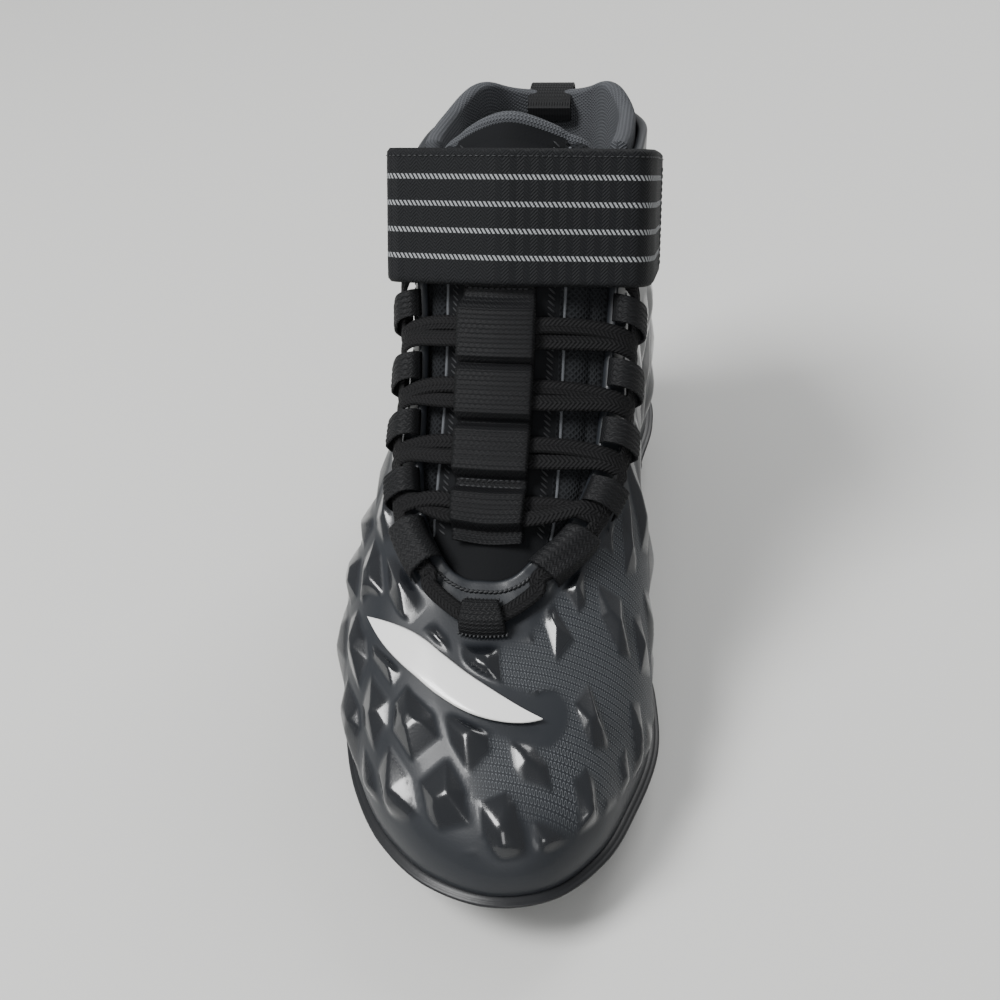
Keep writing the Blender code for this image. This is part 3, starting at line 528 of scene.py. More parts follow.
@dataclass(frozen=True)
class Finish:
    """A material's even values, its pattern's lengths and the record's slot that it belongs to."""

    name: str
    slot: str
    colour: tuple
    roughness: float = 0.8
    coat: float = 0.0
    coat_roughness: float = 0.15
    specular: float = 0.5
    # pale: wear on the rubber, the mesh dots' outline on the skin, a painted highlight on the fabrics'
    # raised threads; hollow: the skin bands' slate, a painted shade in the knit's and lace's hollows.
    pale: tuple = ()
    hollow: tuple = ()
    across: float = 0.001
    along: float = 0.001
    depth: float = 0.0001
    grain: float = 1500.0


class Shader:
    """A Principled material under construction."""

    def __init__(self, finish: Finish) -> None:
        """Makes the material with the finish's even values.

        Args:
            finish: the values to start from.
        """
        self.finish = finish
        self.material = bpy.data.materials.new(finish.name)
        self.material.use_nodes = True
        self.tree = self.material.node_tree
        self.surface = self.tree.nodes["Principled BSDF"]
        self.set("Base Color", (*finish.colour, 1.0))
        self.set("Roughness", finish.roughness)
        self.set("Coat Weight", finish.coat)
        self.set("Coat Roughness", finish.coat_roughness)
        self.set("Specular IOR Level", finish.specular)

    def set(self, name: str, value: Union[Value, tuple]) -> None:
        """Sets or links an input of the surface."""
        plug(value, self.surface.inputs[name])

    def node(self, kind: str, output: Union[int, str] = 0, settings: Optional[dict] = None,
             inputs: Optional[dict] = None) -> Wire:
        """Adds any node.

        Args:
            kind: the node's type.
            output: which output is returned.
            settings: attributes of the node, set first.
            inputs: values or wires for its sockets.

        Returns:
            The wire of the output.
        """
        made = self.tree.nodes.new(kind)
        for name, value in (settings or {}).items():
            setattr(made, name, value)
        for name, value in (inputs or {}).items():
            plug(value, made.inputs[name])
        return Wire(self.tree, made.outputs[output])

    def place(self) -> Wire:
        """Object coordinates in metres."""
        return self.node("ShaderNodeTexCoord", "Object")

    def axes(self) -> tuple[Wire, Wire, Wire]:
        """The three object coordinates, each as a value."""
        where = {"Vector": self.place()}
        return tuple(self.node("ShaderNodeSeparateXYZ", axis, inputs=where) for axis in "XYZ")

    def cloth(self) -> tuple[Wire, Wire]:
        """The piece's own two coordinates in metres."""
        chart = self.node("ShaderNodeUVMap", "UV", settings={"uv_map": UV})
        where = {"Vector": chart}
        return tuple(self.node("ShaderNodeSeparateXYZ", axis, inputs=where) for axis in "XY")

    def mark(self, name: str) -> Wire:
        """A named attribute of the mesh."""
        return self.node("ShaderNodeAttribute", "Fac", settings={"attribute_name": name})

    def noise(self, scale: float, detail: float = 3.0) -> Wire:
        """Noise from 0 to 1 over object coordinates."""
        inputs = {"Vector": self.place(), "Scale": scale, "Detail": detail}
        return self.node("ShaderNodeTexNoise", "Fac", inputs=inputs)

    def blend(self, share: Value, first: Union[Wire, tuple], second: Union[Wire, tuple]) -> Wire:
        """A colour between two others.

        Args:
            share: 0 gives the first colour and 1 the second.
            first: a colour or wire.
            second: a colour or wire.

        Returns:
            The mixed colour.
        """
        made = self.tree.nodes.new("ShaderNodeMix")
        made.data_type = "RGBA"
        plug(share, made.inputs[0])
        for place, value in zip((made.inputs[6], made.inputs[7]), (first, second)):
            plug(value if isinstance(value, Wire) else (*value, 1.0), place)
        return Wire(self.tree, made.outputs[2])

    def bump(self, height: Wire, depth: float) -> None:
        """Raises the surface by a height of 0 to 1 times a depth in metres."""
        inputs = {"Height": height, "Distance": depth, "Strength": 1.0}
        self.set("Normal", self.node("ShaderNodeBump", "Normal", inputs=inputs))


RUBBER = Finish("moulded_rubber", "moulded_plate", (0.008, 0.0085, 0.010), 0.42, 0.10, 0.3, 0.3,
                pale=(0.015, 0.016, 0.018), depth=0.00004, grain=1400.0)
# SKIN's colour is the facets' slate painted darker, a painted shade and dark reflection; hollow is the
# bands' slate and pale the mesh dots' outline.
SKIN = Finish("faceted_film", "scaled_skin", (0.0070, 0.0080, 0.0100), 0.30, 0.45, 0.12, 0.30,
              pale=(0.13, 0.14, 0.15), hollow=(0.0135, 0.0155, 0.0190), across=0.0011, along=0.0023,
              depth=0.00012)
HAZE = (0.026, 0.029, 0.034)
FOOTBED = Finish("footbed_top", "footbed", (0.035, 0.035, 0.040), 0.9,
                 across=0.0012, along=0.0012, depth=0.00008, grain=900.0)
# The tongue's pale colour is a painted highlight on the raised diamonds.
TONGUE_KNIT = Finish("tongue_knit", "tongue_mesh", (0.0045, 0.0050, 0.0060), 0.85, specular=0.2,
                     pale=(0.022, 0.024, 0.027), across=0.0021, depth=0.00035, grain=1300.0)
# The grey knit's hollow colour is a painted shade and its pale colour a painted highlight, laid by the
# stitches' relief.
LINING = Finish("grey_knit", "lining_knit", (0.080, 0.084, 0.091), 0.95, specular=0.2,
                pale=(0.125, 0.131, 0.141), hollow=(0.040, 0.042, 0.047), across=0.0013, along=0.0011,
                depth=0.00030)
# The webbing's pale colour is a painted highlight on the raised floats.
WEBBING = Finish("ribbed_webbing", "webbing", (0.0030, 0.0032, 0.0038), 0.62, specular=0.22,
                 pale=(0.011, 0.0115, 0.013), across=0.0010, along=0.0016, depth=0.00012)
THREAD = Finish("thread", "webbing", (0.020, 0.021, 0.023), 0.5, specular=0.35)
# The lace's hollow colour is a painted shade and its pale colour a painted highlight, laid by the braid's
# relief.
CORD = Finish("woven_lace", "lace", (0.0030, 0.0030, 0.0035), 0.75, specular=0.2,
              pale=(0.012, 0.012, 0.013), hollow=(0.0022, 0.0022, 0.0026), across=0.0009, along=0.0015,
              depth=0.00028)
# The elastic's pale colour is a painted highlight on the raised twill; the stripes are its print.
ELASTIC = Finish("striped_elastic", "strap_elastic", (0.0038, 0.0042, 0.0050), 0.72, specular=0.2,
                 pale=(0.012, 0.013, 0.015), across=0.0012, along=0.0046, depth=0.00022, grain=1400.0)
TAB = Finish("woven_tab", "webbing", (0.0045, 0.0048, 0.0055), 0.62, specular=0.22,
             across=0.0010, along=0.0016, depth=0.00018, grain=900.0)
WHITE = Finish("white_film", "white_gloss", (0.80, 0.80, 0.79), 0.22, 0.5, 0.1)


@dataclass(frozen=True)
class Stripes:
    """The elastic's pale lines, made of slanted dashes."""

    spacing: float = 0.0043
    half: float = 0.00085
    soft: float = 0.0002
    edge: float = 0.0165
    edge_soft: float = 0.0004
    dash: float = 0.0015
    slant: float = 0.0024
    colour: tuple = (0.30, 0.31, 0.32)


STRIPES = Stripes()


class Finishes:
    """All materials of the boot, made once."""

    def __init__(self) -> None:
        """Makes every material."""
        self.rubber = self.make_rubber()
        self.skin = self.make_skin()
        self.footbed = self.make_woven(FOOTBED)
        self.tongue = self.make_tongue()
        self.lining = self.make_knit()
        self.webbing = self.make_webbing()
        self.tab = self.make_woven(TAB)
        self.lace = self.make_lace()
        self.elastic = self.make_elastic()
        self.thread = Shader(THREAD).material
        self.white = Shader(WHITE).material

    def make_rubber(self) -> bpy.types.Material:
        """Moulded black: an even colour with a fine grain and faint wear."""
        shader = Shader(RUBBER)
        wear = shader.noise(60.0, 4.0)
        shader.set("Base Color", shader.blend(wear * 0.6, RUBBER.colour, RUBBER.pale))
        shader.set("Roughness", wear * 0.2 + 0.34)
        shader.bump(shader.noise(RUBBER.grain), RUBBER.depth)
        return shader.material

    def make_skin(self) -> bpy.types.Material:
        """The glossy film: facets painted charcoal, darker than the paler slate in the hollows, as a painted
        shade and dark reflection, with fine outlined ovals where the mesh shows between the facets."""
        shader = Shader(SKIN)
        across, along = shader.cloth()
        dots = shader.mark("dots")
        high = shader.mark("high")
        row = (along / SKIN.along).math("FLOOR") * 0.5
        column = (across / SKIN.across + row + (along / (2 * SKIN.along)).ridge() * 0.3).ridge()
        oval = column * (along / SKIN.along).ridge().math("SQRT")
        outline = (oval - 0.45).math("ABSOLUTE").below(0.16, 0.12) * dots
        # The facets take the darker colour: a painted shade and dark reflection over the one slate.
        tone = shader.blend(high, SKIN.hollow, SKIN.colour)
        tone = shader.blend(shader.noise(35.0) * 0.20, tone, HAZE)
        shader.set("Base Color", shader.blend(outline * 0.85, tone, SKIN.pale))
        shader.set("Roughness", 0.42 - high * 0.20 + dots * 0.10 + shader.noise(180.0) * 0.06)
        shader.set("Coat Weight", 0.12 + high * 0.55)
        shader.bump(shader.noise(SKIN.grain) * 0.25 + outline, SKIN.depth)
        return shader.material

    def make_woven(self, finish: Finish) -> bpy.types.Material:
        """A plain weave over object coordinates.

        Args:
            finish: the even values and the threads' pitches.

        Returns:
            The material.
        """
        shader = Shader(finish)
        x, y, _ = shader.axes()
        weave = (x / finish.across).ridge() * (y / finish.along).ridge()
        shader.bump(weave + shader.noise(finish.grain) * 0.4, finish.depth)
        return shader.material

    def make_tongue(self) -> bpy.types.Material:
        """Diamond knit beside a smooth band along the webbing; the raised diamonds are painted paler, a
        painted highlight.
        """
        shader = Shader(TONGUE_KNIT)
        across, along = shader.cloth()
        first = ((across + along) / TONGUE_KNIT.across).ridge()
        second = ((across - along) / TONGUE_KNIT.across).ridge()
        diamonds = first.math("MAXIMUM", second)
        smooth = (across.math("ABSOLUTE") - SMOOTH_BAND).below(0.0, 0.0006)
        lit = diamonds * (1.0 - smooth)
        shader.set("Base Color", shader.blend(lit * 0.5, TONGUE_KNIT.colour, TONGUE_KNIT.pale))
        shader.bump(lit + shader.noise(TONGUE_KNIT.grain) * 0.3, TONGUE_KNIT.depth)
        return shader.material

    def make_knit(self) -> bpy.types.Material:
        """Grey knit: rows of small V stitches, with painted shade in their hollows and a painted highlight
        on their raised parts.
        """
        shader = Shader(LINING)
        across, along = shader.cloth()
        stitch = (along / LINING.along + (across / LINING.across).zigzag() * 0.7).ridge()
        rib = (across / LINING.across).ridge()
        height = stitch * 0.7 + rib * 0.5
        # Painted shade in the hollows and painted highlight on the raised stitches, following the relief.
        shader.set("Base Color", shader.blend(height * 0.6, LINING.hollow, LINING.pale))
        shader.bump(height + shader.noise(LINING.grain) * 0.3, LINING.depth)
        return shader.material

    def make_webbing(self) -> bpy.types.Material:
        """Woven webbing: short slanted floats on each rib, painted paler where they stand up as a painted
        highlight.
        """
        shader = Shader(WEBBING)
        across, along = shader.cloth()
        floats = (across / WEBBING.across + (along / WEBBING.along).zigzag() * 0.8).ridge()
        # Painted highlight: the raised floats are paler.
        shader.set("Base Color", shader.blend(floats * 0.5, WEBBING.colour, WEBBING.pale))
        shader.bump(floats + shader.noise(WEBBING.grain) * 0.4, WEBBING.depth)
        return shader.material

    def make_lace(self) -> bpy.types.Material:
        """Flat braid: chevrons that meet along the middle, with painted shade in the hollows and a painted
        highlight on the raised chevrons.
        """
        shader = Shader(CORD)
        across, along = shader.cloth()
        chevron = (along / CORD.along + across.math("ABSOLUTE") / 0.0016).ridge()
        rows = (across / CORD.across).ridge()
        height = chevron * 0.8 + rows * 0.3
        # Painted shade in the hollows and painted highlight on the raised chevrons.
        shader.set("Base Color", shader.blend(height * 0.5, CORD.hollow, CORD.pale))
        shader.bump(height, CORD.depth)
        return shader.material

    def make_elastic(self) -> bpy.types.Material:
        """Herringbone elastic with four pale zigzag lines; the raised twill is painted paler, a painted
        highlight.
        """
        shader = Shader(ELASTIC)
        along, across = shader.cloth()
        twill = (across / ELASTIC.across + (along / ELASTIC.along).zigzag() * 2.0).ridge()
        line = (across + STRIPES.spacing).math("PINGPONG", STRIPES.spacing)
        line = line.below(STRIPES.half, STRIPES.soft)
        line = line * across.math("ABSOLUTE").below(STRIPES.edge, STRIPES.edge_soft)
        slant = (along / STRIPES.dash + across / STRIPES.slant).ridge().below(0.62, 0.25)
        stripe = line * slant
        # Painted highlight: the raised twill is paler.
        tone = shader.blend(twill * 0.55, ELASTIC.colour, ELASTIC.pale)
        shader.set("Base Color", shader.blend(stripe * 0.92, tone, STRIPES.colour))
        shader.bump(twill * 0.7 + stripe + shader.noise(ELASTIC.grain) * 0.3, ELASTIC.depth)
        return shader.material


# Meshes


def grid_faces(rows: int, columns: int, wrap_rows: bool, wrap_columns: bool) -> Array:
    """Four-cornered faces of a grid of points.

    Args:
        rows: how many rows.
        columns: how many columns.
        wrap_rows: whether the last row joins the first.
        wrap_columns: whether the last column joins the first.

    Returns:
        The point numbers of each face.
    """
    row = np.arange(rows if wrap_rows else rows - 1)
    column = np.arange(columns if wrap_columns else columns - 1)
    r, c = np.meshgrid(row, column, indexing="ij")
    below, right = (r + 1) % rows, (c + 1) % columns
    corners = (r * columns + c, r * columns + right, below * columns + right, below * columns + c)
    return np.stack(corners, axis=-1).reshape(-1, 4)


def grid_normals(points: Array) -> Array:
    """Directions square to a grid of points, from the differences along it."""
    return unit(np.cross(np.gradient(points, axis=1), np.gradient(points, axis=0)))


@dataclass
class Mould:
    """Meshes gathered into one object."""

    points: list = field(default_factory=list)
    faces: list = field(default_factory=list)
    charts: list = field(default_factory=list)
    marks: dict = field(default_factory=dict)
    count: int = 0

    def add(self, points: Array, faces: list, chart: Optional[Array] = None) -> "Mould":
        """Adds points and faces.

        Args:
            points: rows of coordinates.
            faces: tuples of point numbers.
            chart: two cloth coordinates for each point.

        Returns:
            This mould.
        """
        points = np.asarray(points).reshape(-1, 3)
        flat = np.zeros((len(points), 2)) if chart is None else np.asarray(chart).reshape(-1, 2)
        self.points.append(points)
        self.charts.append(flat)
        self.faces += [tuple(corner + self.count for corner in face) for face in faces]
        self.count += len(points)
        return self

    def grid(self, points: Array, chart: Optional[Array] = None, wrap_rows: bool = False,
             wrap_columns: bool = True, caps: bool = True) -> "Mould":
        """Adds a grid, turned so that its faces look out.

        Args:
            points: rows by columns of coordinates.
            chart: two cloth coordinates for each point.
            wrap_rows: whether the last row joins the first.
            wrap_columns: whether the last column joins the first.
            caps: whether the first and last rows are closed.

        Returns:
            This mould.
        """
        rows, columns = points.shape[:2]
        quads = grid_faces(rows, columns, wrap_rows, wrap_columns)
        flat = points.reshape(-1, 3)
        middle = flat.mean(axis=0)
        a, b, c, d = (flat[quads[:, k]] - middle for k in range(4))
        volume = np.einsum("ij,ij->", a, np.cross(b, c)) + np.einsum("ij,ij->", a, np.cross(c, d))
        faces = quads.tolist()
        if caps and wrap_columns and not wrap_rows:
            faces.append(list(range(columns))[::-1])
            faces.append([(rows - 1) * columns + k for k in range(columns)])
        if volume < 0:
            faces = [face[::-1] for face in faces]
        return self.add(flat, faces, chart)

    def make(self, name: str, material: bpy.types.Material, finish: Finish, stands_for: Sequence[str] = (),
             merge: bool = False, sharp: float = 180.0) -> bpy.types.Object:
        """Makes the object, on the boot's body.

        Args:
            name: the object's name.
            material: its material.
            finish: the finish; not used.
            stands_for: the frame's nodes that it replaces.
            merge: whether points at one place are joined.
            sharp: edges that turn more than this many degrees stay crisp.

        Returns:
            The object.
        """
        mesh = bpy.data.meshes.new(name)
        mesh.from_pydata(np.concatenate(self.points).tolist(), [], self.faces)
        corner = np.empty(len(mesh.loops), np.int32)
        mesh.loops.foreach_get("vertex_index", corner)
        layer = mesh.uv_layers.new(name=UV)
        layer.data.foreach_set("uv", np.concatenate(self.charts)[corner].astype(np.float32).ravel())
        for word, values in self.marks.items():
            made = mesh.attributes.new(word, "FLOAT", "POINT")
            made.data.foreach_set("value", np.asarray(values, np.float32).ravel())
        if merge:
            build = bmesh.new()
            build.from_mesh(mesh)
            bmesh.ops.remove_doubles(build, verts=build.verts, dist=1e-6)
            bmesh.ops.dissolve_degenerate(build, edges=build.edges, dist=1e-7)
            build.to_mesh(mesh)
            build.free()
        mesh.shade_smooth()
        if sharp < 180.0:
            mesh.set_sharp_from_angle(angle=math.radians(sharp))
        piece = bpy.data.objects.new(name, mesh)
        mesh.materials.append(material)
        bpy.context.scene.collection.objects.link(piece)
        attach(piece, ROOT)
        if stands_for:
            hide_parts(*stands_for)
        LOG.info("%s: %d points", name, self.count)
        return piece


@dataclass(frozen=True)
class Ribbon:
    """A flat band's section: a closed loop with rounded edges."""

    width: float
    thickness: float
    columns: int = 16
    edge_power: float = 8.0

    def loop(self) -> tuple[Array, Array, Array]:
        """Across and lift round the section, and 1 on its upper face."""
        share = np.linspace(-1.0, 1.0, self.columns)
        bulge = 0.5 * self.thickness * np.sqrt(1.0 - np.abs(share) ** self.edge_power)
        across = 0.5 * self.width * np.concatenate([share, share[-2:0:-1]])
        lift = np.concatenate([bulge, -bulge[-2:0:-1]])
        return across, lift, (lift > 0).astype(float)

    def chart(self, way: Array, points: Array, across_first: bool = False) -> Array:
        """Cloth coordinates of a band: the way along it and the length across.

        Args:
            way: distance along for each row.
            points: the band's grid.
            across_first: whether across is the first coordinate.

        Returns:
            Two lengths for each point.
        """
        across = np.broadcast_to(self.loop()[0], points.shape[:2])
        both = (way[:, None] + 0 * across, across)
        return np.stack(both[::-1] if across_first else both, axis=-1)

    def grid(self, count: int, locate: Callable[[Array, Array], tuple[Array, Array]],
             lift: Array, relief: Optional[Callable[[Array], Array]] = None) -> Array:
        """Points of a band that lies on a surface.

        Args:
            count: stations along the band.
            locate: gives surface points and outward directions for stations and across.
            lift: height of the band's middle over the surface, for each station.
            relief: extra height of the upper face, for across.

        Returns:
            The grid of points.
        """
        across, up, face = self.loop()
        station = np.arange(count)[:, None]
        points, away = locate(station, across[None, :])
        height = lift[:, None] + up[None, :]
        if relief is not None:
            height = height + face * relief(across[None, :])
        return points + height[..., None] * away


def stitches(line: Array, away: Array, pitch: float, length: float, radius: float,
             slant: float = 0.0) -> tuple[Array, list]:
    """A row of small rounded stitches along a line.

    Args:
        line: points of the line.
        away: outward directions at them.
        pitch: distance from stitch to stitch.
        length: length of a stitch.
        radius: half its thickness.
        slant: how far each stitch turns from the line, in degrees.

    Returns:
        The points and the faces.
    """
    way = lengths(line)
    at = np.arange(0.5 * pitch, way[-1], pitch)
    middle = np.stack([np.interp(at, way, line[:, k]) for k in range(3)], axis=-1)
    up = unit(np.stack([np.interp(at, way, away[:, k]) for k in range(3)], axis=-1))
    tangent = unit(np.gradient(middle, axis=0))
    side = unit(np.cross(up, tangent))
    turn = math.radians(slant)
    tangent, side = (tangent * math.cos(turn) + side * math.sin(turn),
                     side * math.cos(turn) - tangent * math.sin(turn))
    places = np.linspace(-1.0, 1.0, STITCH_RINGS)
    angles = np.arange(STITCH_SIDES) / STITCH_SIDES * 2 * math.pi
    girth = np.sqrt(np.clip(1.0 - places**4, 0.02, 1.0))
    shape_along = np.repeat(places, STITCH_SIDES) * 0.5 * length
    shape_side = np.outer(girth, np.cos(angles)).ravel() * radius
    shape_up = np.outer(girth, np.sin(angles)).ravel() * radius
    points = (
        middle[:, None] + shape_along[None, :, None] * tangent[:, None]
        + shape_side[None, :, None] * side[:, None] + shape_up[None, :, None] * up[:, None]
    )
    size = STITCH_RINGS * STITCH_SIDES
    ends = [list(range(STITCH_SIDES))[::-1], list(range(size - STITCH_SIDES, size))]
    shape = grid_faces(STITCH_RINGS, STITCH_SIDES, False, True).tolist() + ends
    faces = [[corner + size * number for corner in face] for number in range(len(at)) for face in shape]
    return points.reshape(-1, 3), faces


def through(points: Array, per: int) -> Array:
    """A Catmull-Rom curve through points.

    Args:
        points: rows of coordinates.
        per: steps from each point to the next.

    Returns:
        The points of the curve.
    """
    points = np.asarray(points, float)
    length = lengths(points)
    step = np.linspace(0.0, len(points) - 1.0, per * (len(points) - 1) + 1)
    place = np.clip(np.interp(step, np.arange(len(points)), length), 0.0, length[-1])
    return row_curves(points[None], place[None])[0]


def lengths(path: Array) -> Array:
    """Distance along a path to each of its points."""
    return np.concatenate([[0.0], np.cumsum(np.linalg.norm(np.diff(path, axis=0), axis=1))])


def on_path(path: Array, side: Array, away: Array) -> Callable[[Array, Array], tuple[Array, Array]]:
    """A locate function for a band along a path.

    Args:
        path: points of the band's middle.
        side: directions across it.
        away: outward directions.

    Returns:
        The function that Ribbon.grid takes.
    """
    def locate(station: Array, across: Array) -> tuple[Array, Array]:
        """Points beside the path, and the path's outward directions."""
        row = station[:, 0]
        points = path[row][:, None] + across[..., None] * side[row][:, None]
        return points, np.broadcast_to(away[row][:, None], points.shape)
    return locate


def tube(path: Array, away: Array, radius: Array, sides: int = 10) -> Array:
    """A round cord along a path, as rings in the plane of away and the side direction.

    Args:
        path: points of its middle.
        away: outward directions at them.
        radius: half its thickness at each point.
        sides: points in a ring.

    Returns:
        Rings by points by 3.
    """
    side = unit(np.cross(unit(np.gradient(path, axis=0)), away))
    angle = np.arange(sides) / sides * 2 * math.pi
    ring = np.cos(angle)[None, :, None] * side[:, None] + np.sin(angle)[None, :, None] * away[:, None]
    return path[:, None] + np.asarray(radius)[:, None, None] * ring


def from_toe(turn: Array) -> Array:
    """How far a turn is from the toe, either way round."""
    turn = np.mod(turn, 1.0)
    return np.minimum(turn, 1.0 - turn)


# Pieces of the boot


@dataclass
class Badge:
    """The plain white bar on the vamp."""

    ends: tuple = ((0.885, 0.60), (0.030, 0.56))
    bow: float = 0.11
    half: float = 0.060
    reach: float = 0.014
    thickness: float = 0.0010
    gap: float = 0.0004
    skin_rise: float = 0.0013
    inset: float = 0.95
    point_power: float = 3.2
    blunt_tip: float = 0.01
    stations: int = 120

    def middle(self, share: Array) -> Array:
        """The climb of the bar's middle line."""
        (_, start), (_, end) = self.ends
        return start + (end - start) * share + 4 * self.bow * share * (1.0 - share)

    def distance(self, turn: Array, climb: Array) -> Array:
        """How far a place is from the middle line, where 1 is the bar's edge.

        Args:
            turn: places round.
            climb: places up.

        Returns:
            The distances.
        """
        (start_turn, _), (end_turn, _) = self.ends
        across = np.mod(turn - start_turn, 1.0)
        length = (end_turn - start_turn) % 1.0
        across = np.where(across > 0.5 + 0.5 * length, across - 1.0, across)
        share = np.clip(across / length, 0.0, 1.0)
        return np.hypot((across - share * length) / self.reach, (climb - self.middle(share)) / self.half)

    def build(self, finishes: Finishes) -> None:
        """Builds the bar with pointed ends and a rounded edge.

        Args:
            finishes: the materials.
        """
        share = np.linspace(0.0, 1.0, self.stations)
        (start_turn, _), (end_turn, _) = self.ends
        half = self.half * (1.0 - np.abs(2 * share - 1) ** self.point_power + self.blunt_tip)
        across, lift, _ = Ribbon(2.0, self.thickness, columns=22, edge_power=6.0).loop()
        turns = start_turn + ((end_turn - start_turn) % 1.0) * share[:, None] + 0 * across[None, :]
        climbs = self.middle(share)[:, None] + self.inset * across[None, :] * half[:, None]
        points = LAST.over(turns, climbs, self.gap + self.skin_rise + lift[None, :] + 0 * turns)
        Mould().grid(points).make("white_bar", finishes.white, WHITE, ("vamp_badge",))


